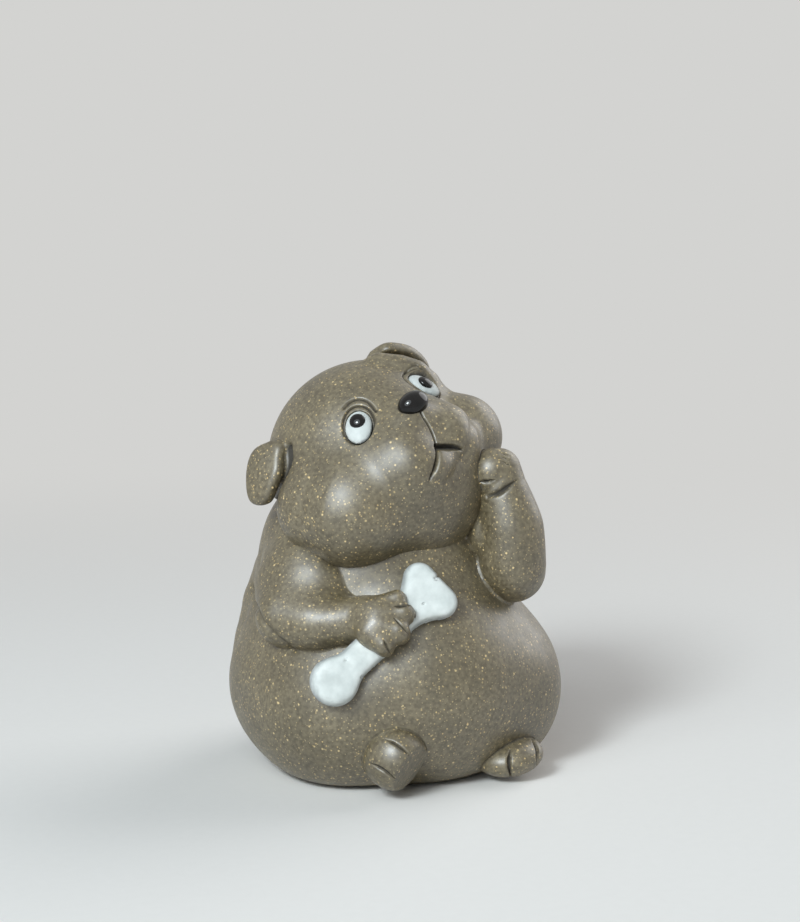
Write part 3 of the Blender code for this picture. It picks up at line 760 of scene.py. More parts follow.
face_patches = [(centre - HEAD_CENTRE, EYE_SPREAD) for centre, _, _ in EYES.values()]
mouth_corner = seen_at(whole_head, MOUTH_CORNER_PIXEL)[0]
face_patches.append((mouth_corner - HEAD_CENTRE, MOUTH_SPREAD))
head_shape = settle(cut_head, HEAD_CENTRE, MUZZLE_WAY, 330, 210, crowd=1.3, finer=face_patches)
add_piece("head_shell", head_shape, "clay", soft_head)

# %% [markdown]
# ## Eyes and nose
# Each eye is a flat drop of white slip in a small socket, with a bead of black glaze on it, and
# the nose is one bigger bead. They could be painted on the head, but they stand proud of it and
# catch the light by themselves, so each is a ball flattened along the way out of the head.

# %% Eyes and nose
def dot(centre, axes, radii, segments, rings):
    shape, points = ball(segments, rings)
    return move_points(shape, points * radii @ axes.T + centre)


for side, (centre, axes, look) in EYES.items():
    white = add_piece(side + "_eye_white", dot(centre, axes, EYE_RADII, 96, 64), "white_slip")
    mark(white.data, "thin_coat_and_side_shade", np.full(len(white.data.vertices), EYE_COAT_THIN))
    shift = (look[0] * EYE_HEIGHT, look[1] * EYE_HEIGHT, 0.84 * EYE_RADII[2])
    pupil_centre = centre + axes @ shift
    add_piece(side + "_pupil", dot(pupil_centre, axes, PUPIL_RADII, 72, 48), "black_glaze")

nose_centre, nose_outward = on_head(NOSE_PLACE, -0.03 * NOSE_WIDTH)
add_piece("nose", dot(nose_centre, dot_axes(nose_outward), NOSE_RADII, 96, 64), "black_glaze")

# %% [markdown]
# ## Lower jaw
# Below the mouth sits a small lip of clay with two straight edges, one along the mouth and one
# along the jowl, and it fades into the chin. It could be a part of the head, but it was put on
# as its own pellet. An ellipsoid cut by two planes gives the edges, and its fillet the fade.

# %% Lower jaw
JAW_PIXELS = np.array([(438.0, 450.0), (464.0, 452.0), (430.0, 482.0)])
JAW_RADII = np.array([3.3, 2.5, 1.6]) * MM
jaw_corners = seen_at(whole_head, JAW_PIXELS)
jaw_centre = jaw_corners.mean(axis=0)
jaw_outward = outward_of(whole_head, jaw_centre)
jaw_axes = axes_of(jaw_outward, np.cross(jaw_outward, jaw_corners[1] - jaw_corners[2]))
MOUTH_SIDE = unit(np.cross(jaw_outward, jaw_corners[1] - jaw_corners[0]))
JOWL_SIDE = unit(np.cross(jaw_corners[2] - jaw_corners[0], jaw_outward))


def jaw_form(points):
    form = ellipsoid(points, jaw_centre - jaw_outward * 0.85 * MM, JAW_RADII, jaw_axes)
    for side in (MOUTH_SIDE, JOWL_SIDE):
        form = -blend(-form, -(points - jaw_corners[0]) @ side, 0.4 * MM)
    return form


lower_jaw = luted(jaw_form, cut_head, 0.6 * MM)
jaw_core = jaw_centre - jaw_outward * 1.3 * MM
add_piece("lower_jaw", settle(lower_jaw, jaw_core, jaw_outward, 120, 80), "clay", soft_head)

# %% [markdown]
# ## Ears
# An ear is a leaf pinched out of a slab and stuck on by one corner. Its outline is drawn on a
# plane through the photograph's pixels, given a thickness with soft edges, and bent a little. A
# bent plate would have sharp rims. The other ear is nearly the same leaf, mirrored and bigger.

# %% Ears
EAR_THICKNESS, EAR_CUP, LEFT_EAR_SCALE = 0.0020, 16.0 * MM, 1.15
EAR_ROOT_RADII, EAR_FILLET = np.array([1.8, 1.5, 1.6]) * MM, 0.35 * MM
RIGHT_EAR_ROOT = np.array([-1.2, -4.1, -1.2]) * MM
LEFT_EAR_ROOT = np.array([-1.6, -2.6, -2.4]) * MM
RIGHT_EAR_PLACE = (-1.013, 0.029, 0.44)
RIGHT_EAR_HANG, RIGHT_EAR_OUT = (-0.627, 0.609, -0.486), (-0.778, -0.526, 0.344)
LEFT_EAR_PLACE = (0.755, -0.205, 0.69)
LEFT_EAR_HANG, LEFT_EAR_OUT = (0.597, 0.627, -0.5), (0.541, 0.145, 0.829)
EAR_BACK_PIXELS = [(271, 440), (257, 447), (250, 459), (247, 480), (249, 502)]
RIGHT_FRONT_PIXELS = [(264, 502), (273, 489), (280, 472), (281, 455), (280, 445)]
LEFT_FRONT_PIXELS = [(266, 503), (277, 493), (285, 472), (286, 455), (283, 443)]


def ear_seat(place, hang, outward, lift):
    axes = axes_of(HEAD_TURN @ np.asarray(outward), HEAD_TURN @ np.asarray(hang))
    return head_point(place) + axes[:, 2] * lift * EAR_THICKNESS, axes


right_seat = ear_seat(RIGHT_EAR_PLACE, RIGHT_EAR_HANG, RIGHT_EAR_OUT, 0.45)
left_seat = ear_seat(LEFT_EAR_PLACE, LEFT_EAR_HANG, LEFT_EAR_OUT, -0.25)


def ear_outline(pixels):
    """A closed outline on the right ear's plane, through pixels of the photograph."""
    seat, axes = right_seat
    flat = (on_plane(pixels, seat, axes[:, 2]) - seat) @ axes[:, :2]
    return smooth_path(np.vstack([flat, flat[:1]]), 90)


def ear(node, seat, outline, mirror, root):
    """A flat leaf of clay, bent a little, with a lump at its root."""
    centre, axes = seat
    outline = outline * (mirror, 1.0)
    angles, lengths = np.arctan2(outline[:, 1], outline[:, 0]), np.linalg.norm(outline, axis=1)
    order = np.argsort(angles)

    def bent(flat):
        sag = np.sum(flat[..., :2] ** 2, axis=-1) / (2 * EAR_CUP)
        curved = np.concatenate([flat[..., :2], (flat[..., 2] - sag)[..., None]], axis=-1)
        return curved @ axes.T + centre

    def flap(flat):
        around = np.arctan2(flat[:, 1], flat[:, 0])
        reach = np.interp(around, angles[order], lengths[order], period=2 * np.pi)
        edge = np.linalg.norm(flat[:, :2], axis=1) - reach
        face = np.abs(flat[:, 2]) - EAR_THICKNESS / 2
        form = -blend(-edge, -face, 0.5 * EAR_THICKNESS)
        return blend(form, ellipsoid(flat, root, EAR_ROOT_RADII), 1.2 * MM)

    form = luted(flap, lambda flat: cut_head(bent(flat)), EAR_FILLET)
    shape, points = ball(240, 120)
    rays = unit(points * (1.0, 1.0, 0.4))
    flat_points = rays * surface_reach(form, np.zeros(3), rays)[:, None]
    add_piece(node, move_points(shape, bent(flat_points)), "clay", soft_head)


right_outline = ear_outline(EAR_BACK_PIXELS + RIGHT_FRONT_PIXELS)
left_outline = LEFT_EAR_SCALE * ear_outline(EAR_BACK_PIXELS + LEFT_FRONT_PIXELS)
ear("right_ear", right_seat, right_outline, 1, RIGHT_EAR_ROOT)
ear("left_ear", left_seat, left_outline, -1, LEFT_EAR_ROOT)

# %% [markdown]
# ## Arms on the body
# The right arm was smeared up over its shoulder until no edge was left, and stays crisp where it
# crosses the chest, so its fillet has a width that changes from place to place. One fillet for
# all of it would blur the chest or leave a rim at the back. The left arm is bent up to the cheek
# and has a fold at its wrist and three small creases over the knuckles.

# %% Right arm
FILLET_HEIGHTS = np.array([0.57, 0.62, 0.71]) * BODY_HEIGHT
FILLET_WIDTHS, CHEST_FILLET = np.array([0.3, 1.0, 3.2]) * MM, 0.4 * MM
SIDE_ANGLE, CHEST_ANGLE = -66.0, -50.0


def arm_fillet(points):
    """Wide over the back of the shoulder, where the clay was smoothed up, and narrow elsewhere."""
    wide = np.interp(points[:, 2], FILLET_HEIGHTS, FILLET_WIDTHS)
    around = np.arctan2(points[:, 0] - BODY_AXIS[0], BODY_AXIS[1] - points[:, 1])
    towards_chest = np.interp(np.degrees(around), [SIDE_ANGLE, CHEST_ANGLE], [0.0, 1.0])
    return wide + (CHEST_FILLET - wide) * towards_chest


def right_arm_luted(points, depth=ELBOW_DEPTH):
    own = right_arm_form(points) + crease(points, ELBOW_CREASE, ELBOW_WIDTH, depth)
    return press(own, creased_body(points, depth), arm_fillet(points))


# Uncut clay for the elbow's painted shade on the arm: half the crease counts as uncut, so it is
# painted half as dark
def softer_right_arm(points):
    return right_arm_luted(points, 0.5 * ELBOW_DEPTH)


elbow = on_body(-60.0, 0.565, -0.55 * WIDE)
forearm_way = 0.9 * unit(right_arm_path[-1] - right_arm_path[0])
right_arm_shape = settle(
    right_arm_luted, elbow, forearm_way, 260, 190, crowd=1.6, stretch=forearm_way
)
add_piece("right_arm", right_arm_shape, "clay", softer_right_arm)

# %% Left arm
LEFT_ARM_CUTS = (
    ([(488, 496), (498, 493), (507, 487), (516, 480)], 0.34 * MM, 0.64 * MM, (0.6, 1.0)),
    ([(492, 455), (500, 453), (509, 456)], 0.18 * MM, 0.16 * MM, SHARP),
    ([(493, 459), (501, 457), (509, 460)], 0.18 * MM, 0.16 * MM, SHARP),
    ([(494, 463), (501, 461), (508, 464)], 0.18 * MM, 0.16 * MM, SHARP),
)
left_arm_cut = with_cuts(left_arm_form, LEFT_ARM_CUTS)
left_outward = np.stack([outward_of(whole_body, point) for point in left_arm_path])
left_arm_luted = luted(left_arm_cut, whole_body, 0.7 * MM)
left_arm_shape = settle_along(left_arm_luted, left_arm_path, -left_outward, 160, 240)
add_piece("left_arm", left_arm_shape, "clay", left_arm_form)

# %% [markdown]
# ## Bone
# The bone is a short club with one round end and one forked end, flattened on top and coated
# with white slip, worn grey along its edges, and greyed down its sides as painted shade. The pin
# holes, where the slip bubbled, could be painted. They are real dents here, as are the cuts
# between fingers and toes further down, so that they take the light from any side.

# %% Bone
BONE_SHAFT_WIDTH, BONE_KNOB_WIDTH = 0.0048, 0.0058
KNOB = BONE_KNOB_WIDTH / 2
bone_low = on_body(-41.2, 0.384, 0.41 * BONE_SHAFT_WIDTH)
bone_high = on_body(-8.1, 0.624, 0.49 * BONE_SHAFT_WIDTH)
bone_along = unit(bone_high - bone_low)
bone_across = unit(np.cross(bone_along, [-0.3, -0.9, 0.3]))
bone_axes = axes_of(np.cross(bone_across, bone_along), bone_along)


def bone_form(points):
    form = roll(points, np.array([bone_low, bone_high]), [BONE_SHAFT_WIDTH / 2] * 2)
    low_knob = bone_low - bone_along * 0.3 * KNOB
    low_radii = np.array([1.25, 1.2, 0.95]) * KNOB
    form = blend(form, ellipsoid(points, low_knob, low_radii, bone_axes), 0.5 * KNOB)
    for side in (1, -1):
        neck = bone_high + (bone_across * 0.25 * side - bone_along * 1.0) * KNOB
        lobe = bone_high + (bone_across * 0.82 * side + bone_along * 0.02) * KNOB
        high_end = roll(points, np.array([neck, lobe]), [0.72 * KNOB, 0.84 * KNOB])
        form = blend(form, high_end, 0.4 * KNOB)
    flat_face = (points - bone_high) @ bone_axes[:, 2] - 0.62 * KNOB
    return -blend(-form, -flat_face, 0.2 * KNOB)


BONE_CUTS = (
    ([(434, 579), (437, 577), (440, 575)], 0.26 * MM, 0.20 * MM, FADED),
    ([(361, 677), (362, 677), (363, 678)], 0.16 * MM, 0.35 * MM, FADED),
    ([(345, 660), (346, 660), (347, 661)], 0.18 * MM, 0.22 * MM, FADED),
    ([(423, 604), (424, 604), (425, 604)], 0.14 * MM, 0.20 * MM, FADED),
    ([(322, 671), (327, 672), (332, 670)], 0.50 * MM, 0.10 * MM, FADED),
)
# Painted shade: the bone's sides are greyed, fully where they face away from its flat top, not at
# all where they face it
SIDE_SHADE_FULL_AT, SIDE_SHADE_NONE_AT = 0.10, 0.80
bone_path = np.linspace(bone_low, bone_high, STEPS)
bone_outward = np.stack([outward_of(whole_body, point) for point in bone_path])
bone_luted = luted(with_cuts(bone_form, BONE_CUTS), whole_body, 0.2 * MM)
bone_shape = settle_along(bone_luted, bone_path, -bone_outward, 220, 300)
bone = add_piece("bone", bone_shape, "white_slip")
facing = points_of(bone.data, "normal") @ bone_axes[:, 2]
mark(bone.data, "thin_coat_and_side_shade", np.interp(facing, [SIDE_SHADE_FULL_AT, SIDE_SHADE_NONE_AT], [1.0, 0.0]))

# %% [markdown]
# ## Paws, feet and tail
# These are balls of clay, pressed on and then cut with a knife into fingers and toes. The right
# paw wraps over the bone with four short fingers, the left one is a fist against the chin, and
# the right foot shows a flat sole. Each could be sculpted by itself, but one function presses
# them all on. The tail can't be seen from the front and is a plain stub.

# %% Lumps of clay
FOOT_WIDTH, TAIL_LENGTH = 0.0098, 0.0100
FOOT = FOOT_WIDTH / 2
UPRIGHT = turn(0, 0, 0)


def lump(node, form, ground, fillet, core, outward, uncut, segments=260, rings=180):
    shape = settle(luted(form, ground, fillet), core, outward, segments, rings)
    add_piece(node, shape, "clay", uncut)


def rounded(centre, radii, axes):
    return lambda points: ellipsoid(points, centre, radii, axes)


print("paws", PAW_WIDTH / MM, "mm and feet", FOOT_WIDTH / MM, "mm wide")

# %% Right paw
PALM_PIXEL, PALM_RADII = (377.0, 622.0), np.array([3.6, 4.0, 3.0]) * MM
FINGERS = (
    ((372, 607), (397, 598), 1.35 * MM, 1.25 * MM),
    ((378, 615), (403, 613), 1.70 * MM, 1.65 * MM),
    ((377, 626), (397, 631), 1.90 * MM, 1.85 * MM),
    ((369, 633), (383, 644), 1.75 * MM, 1.60 * MM),
)
RIGHT_PAW_CUTS = (
    ([(394, 606), (402, 605), (410, 604)], 0.26 * MM, 0.60 * MM, FADED),
    ([(394, 618), (402, 626), (409, 634)], 0.18 * MM, 0.38 * MM, FADED),
    ([(384, 640), (387, 647), (391, 655)], 0.18 * MM, 0.38 * MM, FADED),
)
right_paw_middle = on_body(-25.4, 0.547, 1.0 * PAW)
right_paw_out = outward_of(whole_body, right_paw_middle)
palm_seen = on_plane(PALM_PIXEL, right_paw_middle, right_paw_out)[0]
palm_centre = palm_seen - right_paw_out * 0.9 * MM
palm_axes = axes_of(right_paw_out, (0.0, 0.0, 1.0))


def right_paw_form(points):
    form = ellipsoid(points, palm_centre, PALM_RADII, palm_axes)
    for start, end, first, last in FINGERS:
        base, tip = on_plane([start, end], right_paw_middle, right_paw_out)
        bend = tip + (tip - base) * 0.1 - right_paw_out * 1.2 * MM
        finger = roll(points, np.array([base, tip, bend]), [first, last, 0.9 * last])
        form = blend(form, finger, 0.8 * MM)
    return form


right_paw_cut = with_cuts(right_paw_form, RIGHT_PAW_CUTS)
right_paw_luted = luted(right_paw_cut, right_arm_form, 1.3 * MM)
right_paw_core = palm_centre - right_paw_out * 1.2 * MM
right_paw_shape = settle(right_paw_luted, right_paw_core, right_paw_out, 260, 170)
add_piece("right_paw", right_paw_shape, "clay", right_paw_form)

# %% Left paw
LEFT_PAW_CUTS = (([(479, 482), (487, 482), (495, 480)], 0.26 * MM, 0.55 * MM, FADED),)
LEFT_PAW_RADII = np.array([0.80, 0.76, 0.80]) * PAW
left_paw_form = rounded(left_paw_centre, LEFT_PAW_RADII, UPRIGHT)


def under_left_paw(points):
    return np.minimum.reduce([whole_body(points), cut_head(points), left_arm_cut(points)])


left_paw_core = left_paw_centre - left_paw_out * 0.35 * PAW
left_paw_cut = with_cuts(left_paw_form, LEFT_PAW_CUTS)
left_paw_seat = (under_left_paw, 0.25 * MM, left_paw_core, left_paw_out)
lump("left_paw", left_paw_cut, *left_paw_seat, left_paw_form)

# %% Feet and tail
RIGHT_FOOT_CUTS = (
    ([(385, 739), (397, 745), (414, 759)], 0.18 * MM, 0.42 * MM, FADED),
    ([(370, 763), (383, 770), (398, 782)], 0.24 * MM, 0.50 * MM, FADED),
)
LEFT_FOOT_CUTS = (
    ([(510, 750), (509, 763), (511, 779)], 0.24 * MM, 0.75 * MM, FADED),
    ([(532, 739), (537, 750), (537, 764)], 0.22 * MM, 0.70 * MM, FADED),
)
SOLE_PIXELS, SOLE_EDGE = [(421.0, 746.0), (400.0, 781.0)], 0.15 * MM
RIGHT_FOOT_PLACE, RIGHT_FOOT_RADII = (-23.1, 0.130, 0.03 * FOOT), np.array([0.96, 1.06, 1.0])
LEFT_FOOT_PLACE, LEFT_FOOT_RADII = (30.1, 0.073, 0.06 * FOOT), np.array([1.1, 1.02, 0.59])


def foot(node, place, radii, axes, cuts, sole=None):
    centre = on_body(*place)
    outward = outward_of(whole_body, centre)
    pad = rounded(centre, radii * FOOT, axes)
    toes = with_cuts(pad, cuts)

    def trimmed(form):
        if sole is None:
            return form
        return lambda points: -blend(-form(points), -(points - sole[0]) @ sole[1], SOLE_EDGE)

    core = centre - outward * 0.6 * FOOT
    lump(node, trimmed(toes), whole_body, 0.3 * MM, core, outward, trimmed(pad))


plain_foot = rounded(on_body(*RIGHT_FOOT_PLACE), RIGHT_FOOT_RADII * FOOT, UPRIGHT)
sole_top, sole_end = seen_at(plain_foot, SOLE_PIXELS)
sole_way = unit(unit(np.cross(FORWARD, sole_top - sole_end)) - 0.45 * FORWARD)
sole = (sole_top, sole_way)
foot("right_foot", RIGHT_FOOT_PLACE, RIGHT_FOOT_RADII, UPRIGHT, RIGHT_FOOT_CUTS, sole)
foot("left_foot", LEFT_FOOT_PLACE, LEFT_FOOT_RADII, turn(0, -8, 10), LEFT_FOOT_CUTS)

# %% Tail
tail_centre = on_body(178.0, 0.184, 0.14 * TAIL_LENGTH)
tail_out = outward_of(whole_body, tail_centre)
tail_core = tail_centre - tail_out * 0.2 * TAIL_LENGTH
tail_form = rounded(tail_centre, np.array([0.32, 0.32, 0.5]) * TAIL_LENGTH, turn(18, 0, 0))
lump("tail", tail_form, whole_body, 0.8 * MM, tail_core, tail_out, tail_form, 120, 80)

# %% [markdown]
# ## Finishes
# Three finishes cover the dog: bare burnished clay, white slip and black glaze. An image could be
# wrapped around it, but every pattern here is solid, read from Object coordinates in metres, so
# the grains run through the clay as they do in the real one, and no seam or stretch shows. How
# sharply a mesh bends and how deep it is cut were stored with each piece: they paint shade into
# the cuts and hollows as a dark colour, make them matt, and pale the edges with wear.

# %% Colours and nodes
NOISE, VORONOI, BUMP = "ShaderNodeTexNoise", "ShaderNodeTexVoronoi", "ShaderNodeBump"
RANGE, MIX, MATH = "ShaderNodeMapRange", "ShaderNodeMix", "ShaderNodeMath"
ATTRIBUTE, CHANNELS = "ShaderNodeAttribute", "ShaderNodeSeparateColor"
FACTOR, FIRST, SECOND = 0, 6, 7
COLOURS, DARKEN = {"data_type": "RGBA"}, {"data_type": "RGBA", "blend_type": "MULTIPLY"}
TIMES, MOST = {"operation": "MULTIPLY"}, {"operation": "MAXIMUM"}


def linear(hex_colour):
    """An sRGB hex colour as linear red, green, blue and a full alpha."""
    shares = [int(hex_colour[at : at + 2], 16) / 255 for at in (1, 3, 5)]
    channels = [s / 12.92 if s <= 0.04045 else ((s + 0.055) / 1.055) ** 2.4 for s in shares]
    return (*channels, 1.0)


def set_inputs(node, inputs):
    """Sets each input, by name or number, to a value or links it to a socket or a node."""
    for name, value in inputs.items():
        if isinstance(value, bpy.types.Node):
            value = next(output for output in value.outputs if output.enabled)
        if isinstance(value, bpy.types.NodeSocket):
            node.id_data.links.new(value, node.inputs[name])
        else:
            node.inputs[name].default_value = value
    return node


def add_node(tree, kind, inputs, **settings):
    """A node with its settings and its inputs."""
    node = tree.nodes.new(kind)
    for name, value in settings.items():
        setattr(node, name, value)
    return set_inputs(node, inputs)


def new_material(name):
    """A material, what adds a node to it, its shader and the Object coordinates."""
    made = bpy.data.materials.new(name)
    made.use_nodes = True
    add = partial(add_node, made.node_tree)
    place = add("ShaderNodeTexCoord", {}).outputs["Object"]
    return made, add, made.node_tree.nodes["Principled BSDF"], place


print("colours are linear: mid grey is", round(linear("#808080")[0], 3))

# %% Clay finish
# Burnished stoneware, fired bare: an olive brown body full of ochre grains, with a satin sheen
CLAY_DARK, CLAY_PALE = linear("#695f47"), linear("#7b7056")
FINE_DARK, FINE_PALE = linear("#b8b4ab"), linear("#ffffff")
# Painted shade: the near-black colour is painted into hollows and knife cuts; the paler one is wear
# on sharp edges
PAINTED_SHADE_COLOUR, EDGE_COLOUR = linear("#1f1a12"), linear("#a59a82")
PATCH, FINE_GRAIN, TOOTH, STROKE = 4.0 * MM, 0.30 * MM, 0.20 * MM, 1.2 * MM
# Spacing, radius, share left out and colour of each size of grain
GRAINS = (
    (0.90 * MM, 0.21 * MM, 0.45, "#ecd095"),
    (0.65 * MM, 0.16 * MM, 0.35, "#dcbd80"),
    (0.42 * MM, 0.12 * MM, 0.40, "#bda97e"),
)
CUT_FROM, CUT_TO = 0.03 * MM, 0.48 * MM
clay, add, shader, place = new_material("burnished_stoneware_clay")
patch = add(NOISE, {"Vector": place, "Scale": 0.5 / PATCH, "Detail": 2.0})
share = add(RANGE, {"Value": patch, "From Min": 0.35, "From Max": 0.65})
body = add(MIX, {FACTOR: share, FIRST: CLAY_DARK, SECOND: CLAY_PALE}, **COLOURS)
fine = add(NOISE, {"Vector": place, "Scale": 0.5 / FINE_GRAIN, "Detail": 3.0})
share = add(RANGE, {"Value": fine, "From Min": 0.35, "From Max": 0.65})
tone = add(MIX, {FACTOR: share, FIRST: FINE_DARK, SECOND: FINE_PALE}, **COLOURS)
body = add(MIX, {FACTOR: 1.0, FIRST: body, SECOND: tone}, **DARKEN)
for cell, radius, missing, colour in GRAINS:
    spots = add(VORONOI, {"Vector": place, "Scale": 1 / cell})
    rim, core = radius / cell, 0.5 * radius / cell
    spot = add(RANGE, {"Value": spots.outputs["Distance"], "From Min": rim, "From Max": core})
    chance = add(CHANNELS, {"Color": spots.outputs["Color"]}).outputs["Red"]
    kept = add(RANGE, {"Value": chance, "From Min": missing, "From Max": 1.0, "To Max": 0.95})
    spot = add(MATH, {0: spot, 1: kept}, **TIMES)
    body = add(MIX, {FACTOR: spot, FIRST: body, SECOND: linear(colour)}, **COLOURS)
bend = add(ATTRIBUTE, {}, attribute_name="bend").outputs["Fac"]
cut = add(ATTRIBUTE, {}, attribute_name="cut").outputs["Fac"]
# Painted shade: the clay darkens in hollows, by how sharply it bends, and in knife cuts, by their
# depth
hollow = add(RANGE, {"Value": bend, "From Min": 400.0, "From Max": 2800.0, "To Max": 0.85})
edge = add(RANGE, {"Value": bend, "From Min": -900.0, "From Max": -4000.0, "To Max": 0.15})
scored = add(RANGE, {"Value": cut, "From Min": CUT_FROM, "From Max": CUT_TO, "To Max": 0.9})
shade = add(MATH, {0: hollow, 1: scored}, **MOST)
for share, colour in ((shade, PAINTED_SHADE_COLOUR), (edge, EDGE_COLOUR)):
    body = add(MIX, {FACTOR: share, FIRST: body, SECOND: colour}, **COLOURS)
stroke = add(NOISE, {"Vector": place, "Scale": 0.5 / STROKE, "Detail": 2.0})
gloss = {"Value": stroke, "From Min": 0.3, "From Max": 0.7, "To Min": 0.40, "To Max": 0.50}
matt = add(RANGE, {"Value": bend, "From Min": 100.0, "From Max": 700.0, "To Max": 0.95})
matt = add(MATH, {0: matt, 1: scored}, **MOST)
gloss = add(MATH, {0: add(RANGE, gloss), 1: matt}, **MOST)
tooth = add(NOISE, {"Vector": place, "Scale": 0.5 / TOOTH, "Detail": 3.0})
bump = add(BUMP, {"Strength": 0.35, "Distance": 0.03 * MM, "Height": tooth})
set_inputs(shader, {"Base Color": body, "Roughness": gloss, "Normal": bump})
set_inputs(shader, {"IOR": 1.6, "Specular IOR Level": 0.9})
print("clay:", len(GRAINS), "sizes of grain,", len(clay.node_tree.nodes), "nodes")

# %% Slip finish
# White slip, a thin coat of liquid clay brushed on: chalky, greyed at worn edges and where the
# eyes' coat is thin; the grey down the bone's sides is painted shade
SLIP_DULL, SLIP_CLEAN = linear("#c8cecb"), linear("#e2e7e4")
SLIP_WORN_THIN_AND_SHADED, SLIP_PIT = linear("#85898b"), linear("#4a4b4c")
BRUSH, WEAR = 1.3 * MM, 0.5 * MM
slip, add, shader, place = new_material("brushed_white_slip")
brush = add(NOISE, {"Vector": place, "Scale": 0.5 / BRUSH, "Detail": 3.0})
share = add(RANGE, {"Value": brush, "From Min": 0.35, "From Max": 0.65})
coat = add(MIX, {FACTOR: share, FIRST: SLIP_DULL, SECOND: SLIP_CLEAN}, **COLOURS)
bend = add(ATTRIBUTE, {}, attribute_name="bend").outputs["Fac"]
# On the bone this greys its sides as painted shade; on the eyes it is their thin coat
thin_coat_and_side_shade = add(ATTRIBUTE, {}, attribute_name="thin_coat_and_side_shade").outputs["Fac"]
edge = add(RANGE, {"Value": bend, "From Min": -420.0, "From Max": -1100.0, "To Max": 0.9})
wear = add(NOISE, {"Vector": place, "Scale": 0.5 / WEAR, "Detail": 3.0})
patchy = add(RANGE, {"Value": wear, "From Min": 0.40, "From Max": 0.62})
thick = add(RANGE, {"Value": wear, "From Min": 0.3, "From Max": 0.7, "To Min": 0.45})
worn_edge = add(MATH, {0: edge, 1: patchy}, **TIMES)
thin_and_shaded = add(MATH, {0: thin_coat_and_side_shade, 1: thick}, **TIMES)
worn_thin_and_shaded = add(MATH, {0: worn_edge, 1: thin_and_shaded}, **MOST)
pit = add(RANGE, {"Value": bend, "From Min": 1500.0, "From Max": 6000.0, "To Max": 0.9})
for share, colour in ((worn_thin_and_shaded, SLIP_WORN_THIN_AND_SHADED), (pit, SLIP_PIT)):
    coat = add(MIX, {FACTOR: share, FIRST: coat, SECOND: colour}, **COLOURS)
bump = add(BUMP, {"Strength": 0.4, "Distance": 0.05 * MM, "Height": wear})
set_inputs(shader, {"Base Color": coat, "Normal": bump, "Roughness": 0.56})
print("slip:", len(slip.node_tree.nodes), "nodes")

# %% Glaze finish
# Black glaze, a drop of glass melted on in the kiln: near black, deep, with a mirror's gloss
GLAZE_DEEP, GLAZE_THIN = linear("#050506"), linear("#121010")
RIPPLE = 0.8 * MM
glaze, add, shader, place = new_material("glossy_black_glaze")
ripple = add(NOISE, {"Vector": place, "Scale": 0.5 / RIPPLE, "Detail": 1.0})
share = add(RANGE, {"Value": ripple, "From Min": 0.3, "From Max": 0.7})
depth = add(MIX, {FACTOR: share, FIRST: GLAZE_DEEP, SECOND: GLAZE_THIN}, **COLOURS)
bump = add(BUMP, {"Strength": 0.15, "Distance": 0.04 * MM, "Height": ripple})
set_inputs(shader, {"Base Color": depth, "Normal": bump, "Roughness": 0.06, "IOR": 1.45})
print("glaze:", len(glaze.node_tree.nodes), "nodes")

# %% Finishes on the pieces
FINISHES = {"clay": clay, "white_slip": slip, "black_glaze": glaze}
for name, piece in PIECES.items():
    finish = next(finish for finish in FINISHES if name.endswith(finish))
    piece.data.materials.append(FINISHES[finish])
base_plate = frame["nodes"]["base_plate"]
base_plate.data.materials.clear()
base_plate.data.materials.append(clay)
print(len(PIECES), "pieces in", len(FINISHES), "finishes")

# %% [markdown]
# ## Stage and light
# The dog stands on pale paper, under one broad lamp from its upper right front and a dimmer one
# from its left, as by a window. A small lamp in the middle of the broad one puts the sharp spark
# into the eyes and the nose, which a broad lamp alone would leave dull. The paper clears into a
# plain backdrop further out, but only for the rays that look at it, so the light on the clay
# stays at a plain level.

# %% Stage
FLOOR_SIZE, CLEAR_FROM, CLEAR_TO = 3.0, 0.06, 0.36
BACKDROP = linear("#d3d3d1")
PAPER_DARK, PAPER_PALE, FIBRE = linear("#efedea"), linear("#f2f0ed"), 0.8 * MM
LIGHT_PATH, MIX_SHADER = "ShaderNodeLightPath", "ShaderNodeMixShader"
floor_shape = bmesh.new()
bmesh.ops.create_grid(floor_shape, x_segments=1, y_segments=1, size=FLOOR_SIZE)
floor_data = bpy.data.meshes.new("floor")
floor_shape.to_mesh(floor_data)
floor_shape.free()
floor = bpy.data.objects.new("floor", floor_data)
bpy.context.scene.collection.objects.link(floor)
print("floor", 2 * FLOOR_SIZE, "m wide")


# %% Paper
def seen_rays(tree):
    """1 for the rays that show the backdrop itself: straight, mirrored and through glass."""
    path = add_node(tree, LIGHT_PATH, {})
    seen = path.outputs["Is Camera Ray"]
    for kind in ("Is Glossy Ray", "Is Transmission Ray"):
        seen = add_node(tree, MATH, {0: seen, 1: path.outputs[kind]}, **MOST)
    return seen


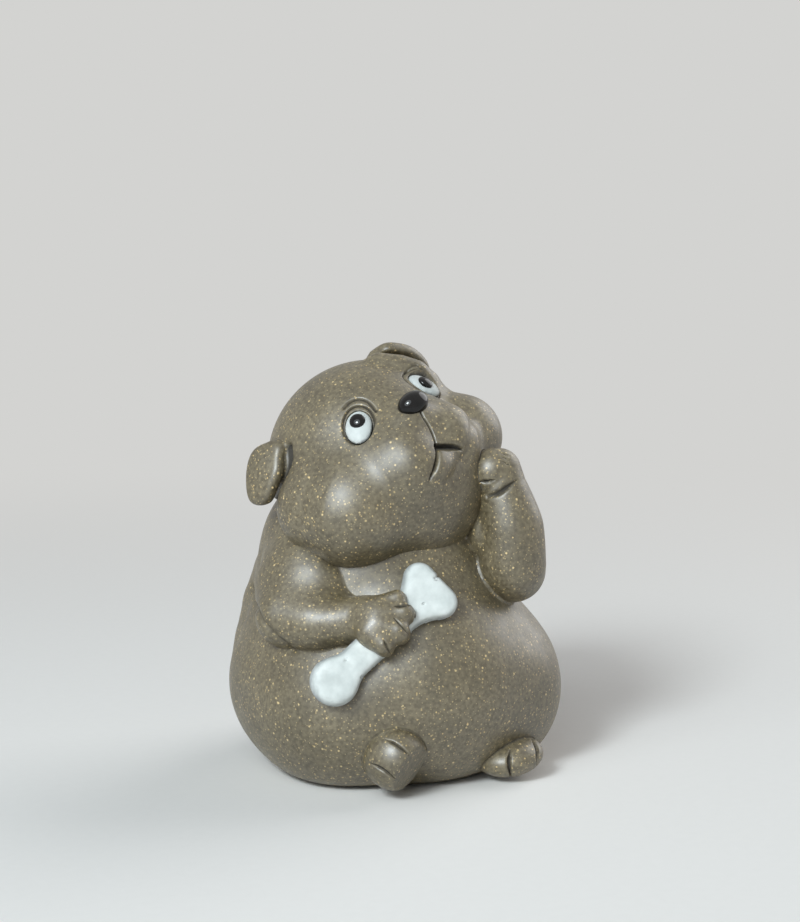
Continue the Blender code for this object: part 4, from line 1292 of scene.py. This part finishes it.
paper, add, shader, place = new_material("pale_paper_floor")
fibre = add(NOISE, {"Vector": place, "Scale": 0.5 / FIBRE, "Detail": 2.0})
sheet = add(MIX, {FACTOR: fibre, FIRST: PAPER_DARK, SECOND: PAPER_PALE}, **COLOURS)
set_inputs(shader, {"Base Color": sheet, "Roughness": 0.9})
away = add("ShaderNodeVectorMath", {0: place}, operation="LENGTH").outputs["Value"]
clear = {"Value": away, "From Min": CLEAR_FROM, "From Max": CLEAR_TO}
clear = add(RANGE, clear, interpolation_type="SMOOTHSTEP")
clear = add(MATH, {0: clear, 1: seen_rays(paper.node_tree)}, **TIMES)
glow = add("ShaderNodeEmission", {"Color": BACKDROP, "Strength": 1.0})
joined = add(MIX_SHADER, {0: clear, 1: shader, 2: glow})
set_inputs(paper.node_tree.nodes["Material Output"], {"Surface": joined})
floor_data.materials.append(paper)
print("paper clears from", CLEAR_FROM, "to", CLEAR_TO, "m")


# %% Lamps and backdrop
def area_light(name, place, size, power, colour):
    data = bpy.data.lights.new(name, "AREA")
    data.shape, data.size, data.energy = "DISK", size, power
    data.color = linear(colour)[:3]
    light = bpy.data.objects.new(name, data)
    bpy.context.scene.collection.objects.link(light)
    back = unit(np.asarray(place) - AIM_POINT)
    light_turn = Matrix(axes_of(back, (0.0, 0.0, 1.0))).to_4x4()
    light.matrix_world = Matrix.Translation(place) @ light_turn
    print(name, power, "W")


FILL = 0.08
area_light("key_light", (-0.66, -0.50, 0.56), 0.90, 4.8, "#ecf6fb")
area_light("catch_light", (-0.65, -0.49, 0.55), 0.26, 6.2, "#ecf6fb")
area_light("rim_light", (0.60, 0.10, 0.40), 0.70, 2.6, "#ffffff")
world = bpy.data.worlds.new("studio")
world.use_nodes = True
bpy.context.scene.world = world
tree = world.node_tree
fill = set_inputs(tree.nodes["Background"], {"Color": linear("#ffffff"), "Strength": FILL})
backdrop = add_node(tree, "ShaderNodeBackground", {"Color": BACKDROP, "Strength": 1.0})
sky = add_node(tree, MIX_SHADER, {0: seen_rays(tree), 1: fill, 2: backdrop})
set_inputs(tree.nodes["World Output"], {"Surface": sky})
bpy.context.scene.view_settings.view_transform = "Standard"
